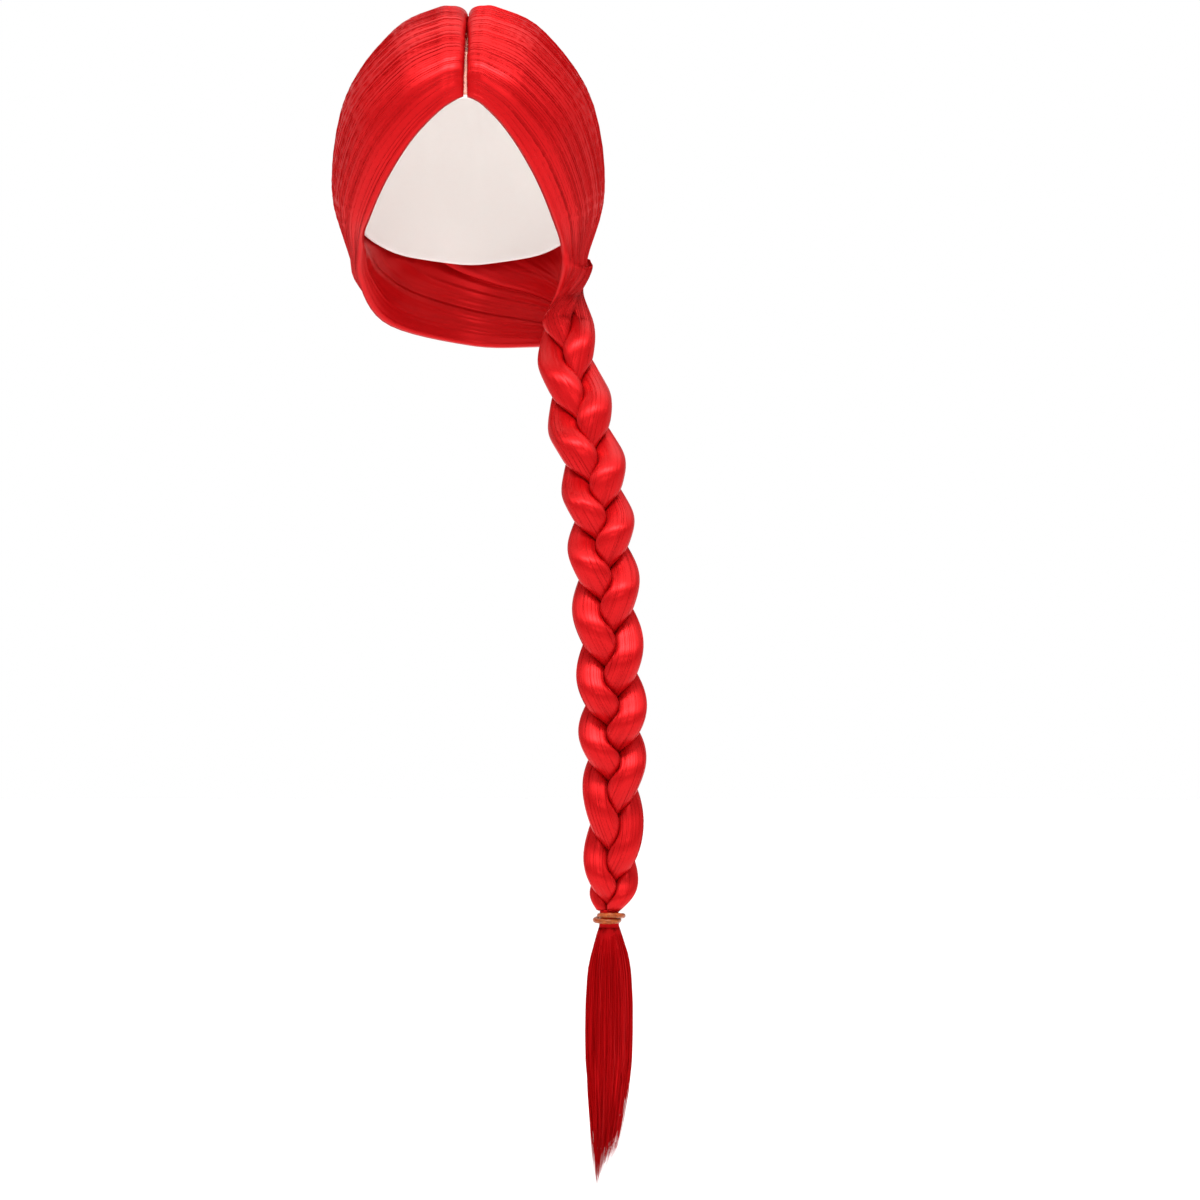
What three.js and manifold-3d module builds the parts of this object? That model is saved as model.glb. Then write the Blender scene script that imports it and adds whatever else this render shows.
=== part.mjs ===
// A long straight wig worn as one braid over the wearer's left shoulder.
// The hair leaves a centre parting in three sheets, which gather beside the neck into the
// three strands of the braid. A small elastic closes the braid, and a loose tail hangs below it.
// Frame: +Z up, -Y the wearer's front, +X the wearer's left. The origin is the highest point
// of the head hollow, where the top of a head seats.

import * as THREE from 'three';
import { mergeVertices } from 'three/addons/utils/BufferGeometryUtils.js';
import Module from 'manifold-3d';

const wasm = await Module();
wasm.setup();

// Driving dimensions, lengths in millimetres and angles in degrees

// Head hollow, an ellipsoid whose top is the origin
const headHalfWidth = 75.5;
const headHalfDepth = 89.5;
const headHeight = 98.5;
const headSetBack = 5;

// Cap
const capWall = 1.5;

// Parting
const partingWidth = 3.6;
const partingThickness = 0.5;
const partingGap = 0.4;
const partingFront = 27.3;
const partingBack = 115;

// Sheets of hair on the head
const hairGap = 1.2;
const hairThickness = 12.3;
const seamGap = 0.35;

// Braid
const braidInset = 12.6;
const braidSetForward = 3;
const braidBelowHead = 100.5;
const braidDrop = 382;
const braidLean = 28.5;
const braidForward = 87;
const braidHalfWidth = 22.5;
const strandGap = 1.2;
const touchGap = 0.15;

// Elastic
const elasticThickness = 3.4;
const elasticRadius = 7.6;
const elasticPitch = 3.9;
const elasticGap = 0.35;

// Tail
const tailLength = 176;
const tailHalfWidth = 15.2;
const tailDepthShare = 0.66;
const tailTipLean = 8.2;
const lockRadius = 4.6;

// How finely the forms are divided
const sheetColumns = 14;
const sheetSteps = 23;
const strandSides = 10;
const slicesPerCrossing = 8;
const capColumns = 24;
const capRows = 8;

const fullTurn = Math.PI * 2;
const degrees = Math.PI / 180;
const capMiddle = new THREE.Vector3(0, headSetBack, -headHeight);
const capAxes = new THREE.Vector3(headHalfWidth + capWall, headHalfDepth + capWall, headHeight + capWall);

// Small helpers

const listOf = (length, make) => Array.from({ length }, (unset, number) => make(number));

const smoothLine = (points) => new THREE.CatmullRomCurve3(points, false, 'catmullrom', 0.5);

const smooth = (share) => {
  const held = Math.min(1, Math.max(0, share));
  return held * held * (3 - 2 * held);
};

// Reads one column of a table whose rows are sorted by their first column
function readTable(rows, key, column, at) {
  const last = rows.length - 1;
  if (at <= rows[0][key]) return rows[0][column];
  if (at >= rows[last][key]) return rows[last][column];
  const next = rows.findIndex((row) => row[key] > at);
  const low = rows[next - 1];
  const high = rows[next];
  return THREE.MathUtils.mapLinear(at, low[key], high[key], low[column], high[column]);
}

// A direction from the middle of the head: side leans to the left ear, turn goes from the
// face over the crown to the back
const direction = ([side, turn]) => new THREE.Vector3(
  Math.sin(side * degrees),
  -Math.cos(side * degrees) * Math.cos(turn * degrees),
  Math.cos(side * degrees) * Math.sin(turn * degrees),
);

const headNormal = (toward) => toward.clone().divide(capAxes).normalize();

// The point that lies a given lift above the cap's outer face
const onHead = (toward, lift) => capMiddle.clone()
  .add(toward.clone().multiply(capAxes))
  .addScaledVector(headNormal(toward), lift);

// Lays a point on the cap's surroundings: what is nearer than the lift moves out to it
function layOnHead(point, lift) {
  const toward = point.clone().sub(capMiddle).divide(capAxes);
  const outside = toward.length() > 1 + lift / Math.min(...capAxes.toArray());
  return outside ? point : onHead(toward.normalize(), lift);
}

// A place below the head, in shares of the cap's half width, half depth and height
const belowHead = ([side, back, rise]) => new THREE.Vector3(
  side * capAxes.x,
  headSetBack + back * capAxes.y,
  -headHeight + rise * capAxes.z,
);

// Closed bodies from rings of points

function geometryFrom(points, faces) {
  const geometry = new THREE.BufferGeometry();
  const values = points.flatMap((point) => [point.x, point.y, point.z]);
  geometry.setAttribute('position', new THREE.Float32BufferAttribute(values, 3));
  geometry.setIndex(faces.flat());
  return faceOutwards(geometry);
}

function faceOutwards(geometry) {
  const place = geometry.getAttribute('position');
  const index = geometry.getIndex().array;
  const corner = [new THREE.Vector3(), new THREE.Vector3(), new THREE.Vector3()];
  let volume = 0;
  for (let start = 0; start < index.length; start += 3) {
    corner.forEach((point, turn) => point.fromBufferAttribute(place, index[start + turn]));
    volume += corner[0].dot(corner[1].clone().cross(corner[2]));
  }
  if (volume < 0) {
    for (let start = 0; start < index.length; start += 3) {
      [index[start], index[start + 1]] = [index[start + 1], index[start]];
    }
  }
  return geometry;
}

const wallFaces = (lower, upper, count, closed) => {
  const faces = [];
  const quads = closed ? count : count - 1;
  for (let side = 0; side < quads; side += 1) {
    const next = (side + 1) % count;
    faces.push([lower + side, lower + next, upper + next], [lower + side, upper + next, upper + side]);
  }
  return faces;
};

const middleOf = (ring) => ring.reduce(
  (sum, point) => sum.addScaledVector(point, 1 / ring.length),
  new THREE.Vector3(),
);

// The wall between two rings, each of its quads folded along the diagonal nearer the middle
function hollowFaces(points, lower, upper, count) {
  const middle = middleOf([...points.slice(lower, lower + count), ...points.slice(upper, upper + count)]);
  const faces = [];
  for (let side = 0; side < count; side += 1) {
    const next = (side + 1) % count;
    const [a, b, c, d] = [lower + side, lower + next, upper + next, upper + side];
    const rising = middleOf([points[a], points[c]]).distanceTo(middle);
    const falling = middleOf([points[b], points[d]]).distanceTo(middle);
    faces.push(...(rising < falling ? [[a, b, c], [a, c, d]] : [[a, b, d], [b, c, d]]));
  }
  return faces;
}

// A loft through closed rings. Its ends are closed by a fan, or by a strip from one half of
// the ring to the other where the ring is the outline of a sheet
function loft(rings, end = 'fan') {
  const count = rings[0].length;
  const points = rings.flat();
  const faces = [];
  const spans = end === 'loop' ? rings.length : rings.length - 1;
  for (let ring = 0; ring < spans; ring += 1) {
    const upper = ((ring + 1) % rings.length) * count;
    faces.push(...(end === 'fan'
      ? hollowFaces(points, ring * count, upper, count)
      : wallFaces(ring * count, upper, count, true)));
  }
  const lastStart = (rings.length - 1) * count;
  if (end === 'strip') {
    for (let side = 0; side < count / 2 - 1; side += 1) {
      const across = count - 1 - side;
      [[0, false], [lastStart, true]].forEach(([start, flip]) => {
        const quad = [start + side, start + across, start + across - 1, start + side + 1];
        const [a, b, c, d] = flip ? quad.reverse() : quad;
        faces.push([a, b, c], [a, c, d]);
      });
    }
  }
  if (end === 'fan') {
    [[0, false], [lastStart, true]].forEach(([start, flip]) => {
      const hub = points.push(middleOf(points.slice(start, start + count))) - 1;
      for (let side = 0; side < count; side += 1) {
        const edge = [start + side, start + (side + 1) % count];
        faces.push(flip ? [hub, edge[0], edge[1]] : [hub, edge[1], edge[0]]);
      }
    });
  }
  return geometryFrom(points, faces);
}

// Boolean cuts and joins

function toSolid(geometry) {
  const bare = geometry.clone();
  bare.deleteAttribute('normal');
  bare.deleteAttribute('uv');
  const merged = mergeVertices(bare, 1e-4);
  return new wasm.Manifold(new wasm.Mesh({
    numProp: 3,
    vertProperties: new Float32Array(merged.getAttribute('position').array),
    triVerts: new Uint32Array(merged.getIndex().array),
  }));
}

function fromSolid(solid) {
  const mesh = solid.getMesh();
  const geometry = new THREE.BufferGeometry();
  geometry.setAttribute('position', new THREE.Float32BufferAttribute(mesh.vertProperties, 3));
  geometry.setIndex(new THREE.Uint32BufferAttribute(mesh.triVerts, 1));
  return geometry;
}

// Cuts a body and keeps its largest piece, so that no crumb of the cut is left
function cutBy(geometry, cutters) {
  const cut = cutters.reduce((solid, cutter) => solid.subtract(toSolid(cutter)), toSolid(geometry));
  const pieces = cut.decompose().sort((first, second) => second.volume() - first.volume());
  return fromSolid(pieces[0]);
}

const joined = (geometries) => fromSolid(
  geometries.map(toSolid).reduce((solid, next) => solid.add(next)),
);

// Cap: a thin dome whose edge rises over the face and falls to the nape

const capEdge = [
  { bearing: 0, rise: 27.5 },
  { bearing: 10, rise: 25 },
  { bearing: 20, rise: 18 },
  { bearing: 30, rise: 9.5 },
  { bearing: 45, rise: -3 },
  { bearing: 60, rise: -12 },
  { bearing: 90, rise: -20 },
  { bearing: 135, rise: -30 },
  { bearing: 180, rise: -34 },
];

function capGeometry() {
  const points = [];
  const faces = [];
  const sheets = [0, -capWall].map((lift) => {
    const hub = points.push(onHead(new THREE.Vector3(0, 0, 1), lift)) - 1;
    const rows = [];
    for (let row = 1; row <= capRows; row += 1) {
      rows.push(points.length);
      for (let column = 0; column < capColumns; column += 1) {
        const bearing = (column / capColumns) * 360;
        const edge = readTable(capEdge, 'bearing', 'rise', Math.min(bearing, 360 - bearing));
        const rise = THREE.MathUtils.lerp(90, edge, row / capRows) * degrees;
        const toward = new THREE.Vector3(
          Math.sin(bearing * degrees) * Math.cos(rise),
          -Math.cos(bearing * degrees) * Math.cos(rise),
          Math.sin(rise),
        );
        points.push(onHead(toward, lift));
      }
    }
    return { hub, rows };
  });
  sheets.forEach(({ hub, rows }, sheet) => {
    const side = [];
    for (let column = 0; column < capColumns; column += 1) {
      side.push([hub, rows[0] + column, rows[0] + (column + 1) % capColumns]);
    }
    rows.slice(1).forEach((start, row) => side.push(...wallFaces(start, rows[row], capColumns, true)));
    faces.push(...side.map((face) => (sheet === 0 ? face : face.reverse())));
  });
  const [outer, inner] = sheets.map((sheet) => sheet.rows[capRows - 1]);
  faces.push(...wallFaces(inner, outer, capColumns, true));
  return geometryFrom(points, faces);
}

// Parting strip: a narrow band over the cap, from the front edge to the crown

function partingGeometry() {
  const steps = 15;
  const side = Math.asin(partingWidth / 2 / capAxes.x) / degrees;
  return loft(listOf(steps + 1, (step) => {
    const turn = THREE.MathUtils.lerp(partingFront, partingBack, step / steps);
    return [
      onHead(direction([side, turn]), partingGap),
      onHead(direction([side, turn]), partingGap + partingThickness),
      onHead(direction([-side, turn]), partingGap + partingThickness),
      onHead(direction([-side, turn]), partingGap),
    ];
  }));
}

// Guide locks. Each row says where a lock leaves the parting, the two directions that bend
// it over the head, where it leaves the head, and the places it passes below the head.
// Directions are side and turn in degrees, places are shares of the cap's size.

const rootSide = 0.9;

// The locks that two neighbouring sheets share as their seam
const rightSeam = { root: [-rootSide, 92], lead: [-24, 96], bend: [-60, 136], leave: [-31, -160],
  below: [[-0.36, 0.88, -0.46], [-0.14, 0.95, -0.58], [0.20, 0.95, -0.68], [0.58, 0.78, -0.77],
    [0.83, 0.40, -0.88]] };
const leftSeam = { root: [rootSide, 92], lead: [22, 95], bend: [71, 104], leave: [58, -121.5],
  below: [[0.925, 0.27, -0.53], [0.90, 0.23, -0.60], [0.865, 0.17, -0.67], [0.835, 0.10, -0.74],
    [0.82, 0.02, -0.82]] };

const rightGuides = [
  { root: [-rootSide, 26.9], lead: [-23, 18], bend: [-41.3, -13.9], leave: [-59.9, -64.7],
    below: [[-0.90, 0.14, -0.68], [-0.68, 0.50, -0.95], [0, 0.80, -1.08], [0.50, 0.66, -1.10],
      [0.75, 0.34, -1.09]] },
  { root: [-rootSide, 45], lead: [-16, 44], bend: [-60, 14], leave: [-58.1, -103],
    below: [[-0.79, 0.34, -0.64], [-0.53, 0.66, -0.78], [0, 0.86, -0.90], [0.52, 0.70, -0.97],
      [0.78, 0.36, -1.01]] },
  { root: [-rootSide, 66], lead: [-20, 66], bend: [-74, 42], leave: [-50, -140],
    below: [[-0.68, 0.60, -0.56], [-0.44, 0.79, -0.69], [0.06, 0.92, -0.80], [0.55, 0.75, -0.88],
      [0.81, 0.38, -0.95]] },
  rightSeam,
];

const backGuides = [
  rightSeam,
  { root: [-rootSide, 119], lead: [-13, 133], bend: [-22, 165], leave: [-7, -168.5],
    below: [[0.06, 0.99, -0.36], [0.28, 0.95, -0.48], [0.54, 0.82, -0.59], [0.76, 0.57, -0.70],
      [0.86, 0.30, -0.83]] },
  { root: [rootSide, 119], lead: [12, 130], bend: [26, 158], leave: [29, -163],
    below: [[0.60, 0.80, -0.38], [0.71, 0.70, -0.49], [0.80, 0.54, -0.60], [0.86, 0.35, -0.70],
      [0.87, 0.19, -0.81]] },
  leftSeam,
];

const leftGuides = [
  { root: [rootSide, 26.9], lead: [14.1, 24.5], bend: [37.2, -12.2], leave: [52.2, -55.2],
    below: [[0.815, -0.31, -0.60], [0.805, -0.27, -0.66], [0.785, -0.22, -0.725], [0.755, -0.17, -0.795],
      [0.715, -0.125, -0.87]] },
  { root: [rootSide, 45], lead: [13, 44], bend: [60, 16], leave: [57.6, -73.9],
    below: [[0.87, -0.14, -0.595], [0.865, -0.13, -0.655], [0.84, -0.115, -0.72], [0.81, -0.10, -0.79],
      [0.77, -0.085, -0.865]] },
  { root: [rootSide, 66], lead: [18, 66], bend: [75, 44], leave: [59.6, -98.6],
    below: [[0.92, 0.06, -0.575], [0.915, 0.055, -0.64], [0.89, 0.04, -0.71], [0.85, 0.02, -0.78],
      [0.81, -0.02, -0.85]] },
  leftSeam,
];

// How thick the hair is along the head part of a lock, as a share of the full thickness
const headPart = [
  { along: 0, thickness: 0.62 },
  { along: 0.07, thickness: 0.84 },
  { along: 0.17, thickness: 0.94 },
  { along: 0.36, thickness: 1 },
  { along: 0.58, thickness: 1 },
  { along: 0.8, thickness: 1 },
  { along: 1, thickness: 0.94 },
];

// How it thins below the head, how far its thickness direction has turned from the head's own
// to the sheet's, and how far a sheet that closes early has gathered into the oval of its strand
const belowPart = [
  { thickness: 0.94, turned: 0.2, gather: 0.04 },
  { thickness: 0.9, turned: 0.5, gather: 0.16 },
  { thickness: 0.86, turned: 0.8, gather: 0.34 },
  { thickness: 0.81, turned: 1, gather: 0.58 },
  { thickness: 0.76, turned: 1, gather: 0.82 },
];

// Shares of the full thickness left at the two long edges of a sheet, and how wide the
// rounded edge is across the sheet
const faceEdge = 0.34;
const seamEdge = 0.62;
const edgeReach = 0.22;

function guidePoints(guide) {
  const poles = [guide.root, guide.lead, guide.bend, guide.leave].map(direction);
  const curve = new THREE.CubicBezierCurve3(...poles);
  const overHead = headPart.map(({ along }) => onHead(curve.getPoint(along).normalize(), hairGap));
  return [...overHead, ...guide.below.map(belowHead)];
}

function edgeShare(across, firstEdge, lastEdge) {
  const rounded = (edge, inwards) => (
    THREE.MathUtils.lerp(edge, 1, Math.sin(Math.min(1, inwards / edgeReach) * Math.PI / 2))
  );
  return rounded(firstEdge, across) * rounded(lastEdge, 1 - across);
}

// Low rounded ribs where neighbouring locks lie side by side
const ribShare = 0.07;
const lockRib = (across, locks) => 1 - ribShare * Math.cos(across * locks * fullTurn);

// How far the corners of a sheet are turned off the edge of its strand, in degrees, and how far
// along the strand lies the section that leads a sheet into it, in crossings
const cornerInset = 3;
const leadCrossings = 0.25;

// A sheet of hair as rings: the outer face from one edge to the other, then the inner face
// back again. The last ring is the first section of the strand that the sheet gathers into
function sheetRings({ guides, locks, firstEdge, lastEdge, closing, strand, firstAngle, grow = 0 }) {
  const lines = guides.map(guidePoints);
  const rows = listOf(lines[0].length, (row) => {
    const across = smoothLine(lines.map((line) => line[row]));
    return listOf(sheetColumns + 1, (column) => across.getPoint(column / sheetColumns));
  });
  const control = rows.map((row, rowNumber) => {
    const above = rows[Math.max(0, rowNumber - 1)];
    const beneath = rows[Math.min(rows.length - 1, rowNumber + 1)];
    const onCap = rowNumber < headPart.length;
    const { thickness: share, turned = 0 } = [...headPart, ...belowPart][rowNumber];
    const outer = [];
    const inner = [];
    row.forEach((spot, column) => {
      const toward = spot.clone().sub(capMiddle).divide(capAxes);
      const point = onCap ? onHead(toward.clone().normalize(), hairGap) : spot.clone();
      const radial = headNormal(toward);
      const widthways = row[Math.min(sheetColumns, column + 1)].clone()
        .sub(row[Math.max(0, column - 1)]).normalize();
      const lengthways = beneath[column].clone().sub(above[column]);
      const upright = widthways.clone().cross(lengthways).normalize();
      if (upright.dot(radial) < 0) upright.negate();
      const normal = radial.clone().lerp(upright, turned).normalize();
      const across = column / sheetColumns;
      const inset = seamGap - grow;
      if (column === 0) point.addScaledVector(widthways, inset);
      if (column === sheetColumns) point.addScaledVector(widthways, -inset);
      const edge = edgeShare(across, firstEdge, lastEdge);
      const thickness = hairThickness * share * edge * lockRib(across, locks);
      outer.push(point.clone().addScaledVector(normal, thickness + grow));
      inner.push(point.clone().addScaledVector(normal, -grow));
    });
    return [...outer, ...inner.reverse()];
  });
  const ringCount = 2 * (sheetColumns + 1);
  const turnSign = firstAngle > 90 ? -1 : 1;
  const angles = listOf(ringCount, (number) => {
    const half = number <= sheetColumns ? 0 : 1;
    const column = number - half * (sheetColumns + 1);
    const inset = column === 0 ? cornerInset : column === sheetColumns ? -cornerInset : 0;
    return firstAngle + turnSign * (180 * (half + column / sheetColumns) + inset);
  });
  const strandEnd = (crossing) => strandSection(strand, crossing, angles, strandGap - 2 * grow, grow);
  const oval = strandEnd(braidStart);
  belowPart.forEach(({ gather }, number) => {
    const ring = control[headPart.length + number];
    const shift = middleOf(ring).sub(middleOf(oval));
    ring.forEach((point, corner) => point.lerp(oval[corner].clone().add(shift), gather * closing));
  });
  control.push(oval, strandEnd(braidStart + leadCrossings));
  const rings = smoothRings(control, sheetSteps);
  return rings.map((ring) => ring.map((point) => layOnHead(point, hairGap - grow)));
}

// Rings on smooth lines through the control rings; the last control ring only leads the way
function smoothRings(control, steps) {
  const reach = (control.length - 2) / (control.length - 1);
  const columns = listOf(control[0].length, (column) => smoothLine(control.map((ring) => ring[column])));
  return listOf(steps + 1, (step) => columns.map((line) => line.getPoint((step / steps) * reach)));
}

// Braid route: one row per crossing, in shares of the drop, the lean and the forward reach

const route = [
  { drop: -0.062, lean: -0.10, forward: -0.17 },
  { drop: 0.062, lean: 0.08, forward: 0.16 },
  { drop: 0.183, lean: 0.42, forward: 0.53 },
  { drop: 0.290, lean: 0.71, forward: 0.79 },
  { drop: 0.386, lean: 0.84, forward: 0.92 },
  { drop: 0.490, lean: 0.95, forward: 1 },
  { drop: 0.601, lean: 1.04, forward: 1.03 },
  { drop: 0.698, lean: 1.09, forward: 1.03 },
  { drop: 0.792, lean: 1.10, forward: 1.02 },
  { drop: 0.914, lean: 1.08, forward: 1.01 },
  { drop: 1, lean: 1, forward: 1 },
];
const crossings = route.length - 1;
const braidStart = 0.5;

// Half width of the braid by crossing, as a share of its full half width
const girth = [
  { crossing: 0.5, share: 0.85 },
  { crossing: 1, share: 0.95 },
  { crossing: 2, share: 1.03 },
  { crossing: 3, share: 1 },
  { crossing: 7, share: 1 },
  { crossing: 8, share: 0.89 },
  { crossing: 9, share: 0.85 },
  { crossing: 9.5, share: 0.78 },
  { crossing: 9.8, share: 0.62 },
  { crossing: 10, share: 0.36 },
];

// How a strand's sway, dive, width and depth share the braid's half width
const swayShare = 0.47;
const strandWidthShare = 0.53;
const diveShare = 0.29;
const strandDepthShare = 0.38;

// Where each strand is in its weave at the crossing counted as nought, and how far it gets
// on its round by the next crossing
const strandPhase = { nape: 150, back: 30, side: 270 };
const turnPerCrossing = 120;

const routeLine = smoothLine(route.map(({ drop, lean, forward }) => new THREE.Vector3(
  capAxes.x - braidInset + lean * braidLean,
  headSetBack - braidSetForward - forward * braidForward,
  capMiddle.z - braidBelowHead - drop * braidDrop,
)));

function braidFrame(crossing) {
  const share = crossing / crossings;
  const along = routeLine.getTangent(share);
  const side = new THREE.Vector3(1, 0, 0);
  side.addScaledVector(along, -side.dot(along)).normalize();
  const forward = along.clone().cross(side);
  return { middle: routeLine.getPoint(share), along, side, forward };
}

// Middle of a strand in the plane across the braid: inward moves pass in front
function strandMiddle(strand, crossing) {
  const half = braidHalfWidth * readTable(girth, 'crossing', 'share', crossing);
  const phase = (strandPhase[strand] + crossing * turnPerCrossing) * degrees;
  return { sway: half * swayShare * Math.sin(phase), dive: -half * diveShare * Math.sin(2 * phase), half };
}

// One section of a strand: an oval, held back by the middle planes to the other strands
function strandSection(strand, crossing, angles, gap, grow = 0) {
  const own = strandMiddle(strand, crossing);
  const others = Object.keys(strandPhase).filter((name) => name !== strand)
    .map((name) => strandMiddle(name, crossing));
  const { middle, side, forward } = braidFrame(crossing);
  return angles.map((angle) => {
    const across = Math.cos(angle * degrees);
    const ahead = Math.sin(angle * degrees);
    const halfWidth = own.half * strandWidthShare + grow;
    const halfDepth = own.half * strandDepthShare + grow;
    let reach = 1 / Math.hypot(across / halfWidth, ahead / halfDepth);
    others.forEach((other) => {
      const sway = other.sway - own.sway;
      const dive = other.dive - own.dive;
      const apart = Math.hypot(sway, dive);
      const facing = (across * sway + ahead * dive) / apart;
      if (facing > 0) reach = Math.min(reach, (apart - gap) / 2 / facing);
    });
    return middle.clone()
      .addScaledVector(side, own.sway + across * reach)
      .addScaledVector(forward, own.dive + ahead * reach);
  });
}

function strandRings(strand, gap) {
  const angles = listOf(strandSides, (side) => (side / strandSides) * 360);
  const steps = Math.round((crossings - braidStart) * slicesPerCrossing);
  const rings = listOf(steps + 1, (step) => {
    const crossing = THREE.MathUtils.lerp(braidStart, crossings, step / steps);
    return strandSection(strand, crossing, angles, gap);
  });
  const start = braidFrame(braidStart).along;
  rings[0].forEach((point) => point.addScaledVector(start, seamGap));
  return rings;
}

// Elastic: one closed loop wound twice, the turns crossing at the back

const elasticTurns = 2;
const elasticHalfHeight = elasticPitch / 2 + elasticThickness / 2 + elasticGap;

function elasticMiddle() {
  const end = braidFrame(crossings).middle;
  return end.clone().add(new THREE.Vector3(0, 0, -elasticHalfHeight - seamGap));
}

function elasticPoint(turns) {
  const angle = turns * fullTurn;
  const radius = elasticRadius + (elasticPitch / 2) * Math.sin(angle / 2);
  return elasticMiddle().add(new THREE.Vector3(
    radius * Math.sin(angle),
    -radius * Math.cos(angle),
    (elasticPitch / 2) * Math.cos(angle / 2),
  ));
}

function elasticGeometry() {
  const steps = 42;
  const sides = 6;
  const reach = 0.005;
  const rings = listOf(steps, (step) => {
    const turns = (step / steps) * elasticTurns;
    const middle = elasticPoint(turns);
    const along = elasticPoint(turns + reach).sub(elasticPoint(turns - reach)).normalize();
    const up = new THREE.Vector3(0, 0, 1).addScaledVector(along, -along.z).normalize();
    const out = up.clone().cross(along);
    return listOf(sides, (side) => {
      const angle = (side / sides) * fullTurn;
      return middle.clone()
        .addScaledVector(up, elasticThickness / 2 * Math.cos(angle))
        .addScaledVector(out, elasticThickness / 2 * Math.sin(angle));
    });
  });
  return loft(rings, 'loop');
}

// Tail: rows of half width by distance below the elastic, as shares of the tail's size

const tailForm = [
  { below: 0.06, width: 0.56 },
  { below: 0.125, width: 0.75 },
  { below: 0.2, width: 0.9 },
  { below: 0.31, width: 0.98 },
  { below: 0.42, width: 1 },
  { below: 0.53, width: 0.95 },
  { below: 0.64, width: 0.84 },
  { below: 0.75, width: 0.66 },
  { below: 0.84, width: 0.4 },
  { below: 0.9, width: 0.1 },
];

// Locks of the tail: bearing round the tail, how far out they lie, where they end
const tailLocks = [
  { bearing: 5, out: 0.72, end: 0.93 },
  { bearing: 48, out: 0.76, end: 0.86 },
  { bearing: 88, out: 0.78, end: 0.9 },
  { bearing: 132, out: 0.7, end: 0.84 },
  { bearing: 176, out: 0.72, end: 0.92 },
  { bearing: 222, out: 0.72, end: 0.88 },
  { bearing: 270, out: 0.78, end: 0.94 },
  { bearing: 315, out: 0.74, end: 1 },
];
const tailSides = 14;

// The lower part of the tail swings to the wearer's right, from this share of its length on
const leanStart = 0.65;
const leanReach = 0.45;
const tailLean = (below) => -tailTipLean * smooth((below - leanStart) / leanReach);

// Where the locks begin, how blunt and how thick their tips are, how full they begin, how slim
// they are where the tail is slim, and how near the middle their two ends may come
const lockStart = 0.16;
const lockBluntness = 2.2;
const lockTip = 0.06;
const lockRise = 0.55;
const lockSlimness = 0.62;
const lockInset = 1.6;
const lockTipInset = 1;

function neckRadius(bearing) {
  const within = elasticRadius - elasticThickness / 2 - elasticGap;
  return within - (elasticPitch / 2) * Math.abs(Math.sin(bearing / 2));
}

function tailRing(below, halfWidth) {
  return listOf(tailSides, (side) => {
    const bearing = (side / tailSides) * fullTurn;
    return elasticMiddle().add(new THREE.Vector3(
      halfWidth * Math.sin(bearing) + tailLean(below),
      -halfWidth * tailDepthShare * Math.cos(bearing),
      -below * tailLength,
    ));
  });
}

function tailNeck(rise) {
  return listOf(tailSides, (side) => {
    const bearing = (side / tailSides) * fullTurn;
    const radius = neckRadius(bearing);
    const outwards = new THREE.Vector3(radius * Math.sin(bearing), -radius * Math.cos(bearing), rise);
    return elasticMiddle().add(outwards);
  });
}

// A lock swells where it leaves the body of the tail, follows its width and narrows to a tip
function tailLock({ bearing, out, end }) {
  const sides = 6;
  const steps = 8;
  const rings = listOf(steps + 1, (step) => {
    const share = step / steps;
    const below = THREE.MathUtils.lerp(lockStart, end, share);
    const width = readTable(tailForm, 'below', 'width', below);
    const narrowing = Math.max(lockTip, Math.sqrt(1 - share ** lockBluntness));
    const swelling = smooth(lockRise + share * 2);
    const slimness = THREE.MathUtils.lerp(lockSlimness, 1, width);
    const reach = Math.max(width * tailHalfWidth * out, lockInset * (1 - share) + lockTipInset);
    const radius = lockRadius * narrowing * swelling * slimness;
    const middle = elasticMiddle().add(new THREE.Vector3(
      reach * Math.sin(bearing * degrees) + tailLean(below),
      -reach * tailDepthShare * Math.cos(bearing * degrees),
      -below * tailLength,
    ));
    return listOf(sides, (side) => {
      const angle = (side / sides) * fullTurn;
      return middle.clone().add(new THREE.Vector3(radius * Math.sin(angle), -radius * Math.cos(angle), 0));
    });
  });
  return loft(rings);
}

function tailGeometry() {
  const rings = [
    tailNeck(elasticHalfHeight),
    tailNeck(-elasticHalfHeight),
    ...tailForm.map(({ below, width }) => tailRing(below, width * tailHalfWidth)),
  ];
  return joined([loft(rings), ...tailLocks.map(tailLock)]);
}

// The three sheets, each ending where its strand of the braid begins. Closing says how early a
// sheet gathers: 1 is early, 0 is at the braid itself

const sheets = {
  hair_right: { guides: rightGuides, locks: 4, firstEdge: faceEdge, lastEdge: seamEdge,
    closing: 0.05, strand: 'nape', firstAngle: -90 },
  hair_left: { guides: leftGuides, locks: 4, firstEdge: faceEdge, lastEdge: seamEdge,
    closing: 1, strand: 'side', firstAngle: 180 },
  hair_back: { guides: backGuides, locks: 5, firstEdge: seamEdge, lastEdge: seamEdge,
    closing: 0.05, strand: 'back', firstAngle: -90 },
};

const sheetBody = (name, grow = 0) => loft(sheetRings({ ...sheets[name], grow }), 'strip');

// Materials and assembly

const plain = (color, roughness) => new THREE.MeshStandardMaterial({ color, roughness, metalness: 0 });
const hairMaterial = plain(0xd8141e, 0.35);
const capMaterial = plain(0xece4dc, 0.85);
const partingMaterial = plain(0xf0b49a, 0.6);
const elasticMaterial = plain(0xb8663a, 0.3);

const group = new THREE.Group();

function place(name, geometry, material) {
  const mesh = new THREE.Mesh(geometry, material);
  mesh.name = name;
  group.add(mesh);
}

place('cap', capGeometry(), capMaterial);
place('parting_strip', partingGeometry(), partingMaterial);

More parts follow.
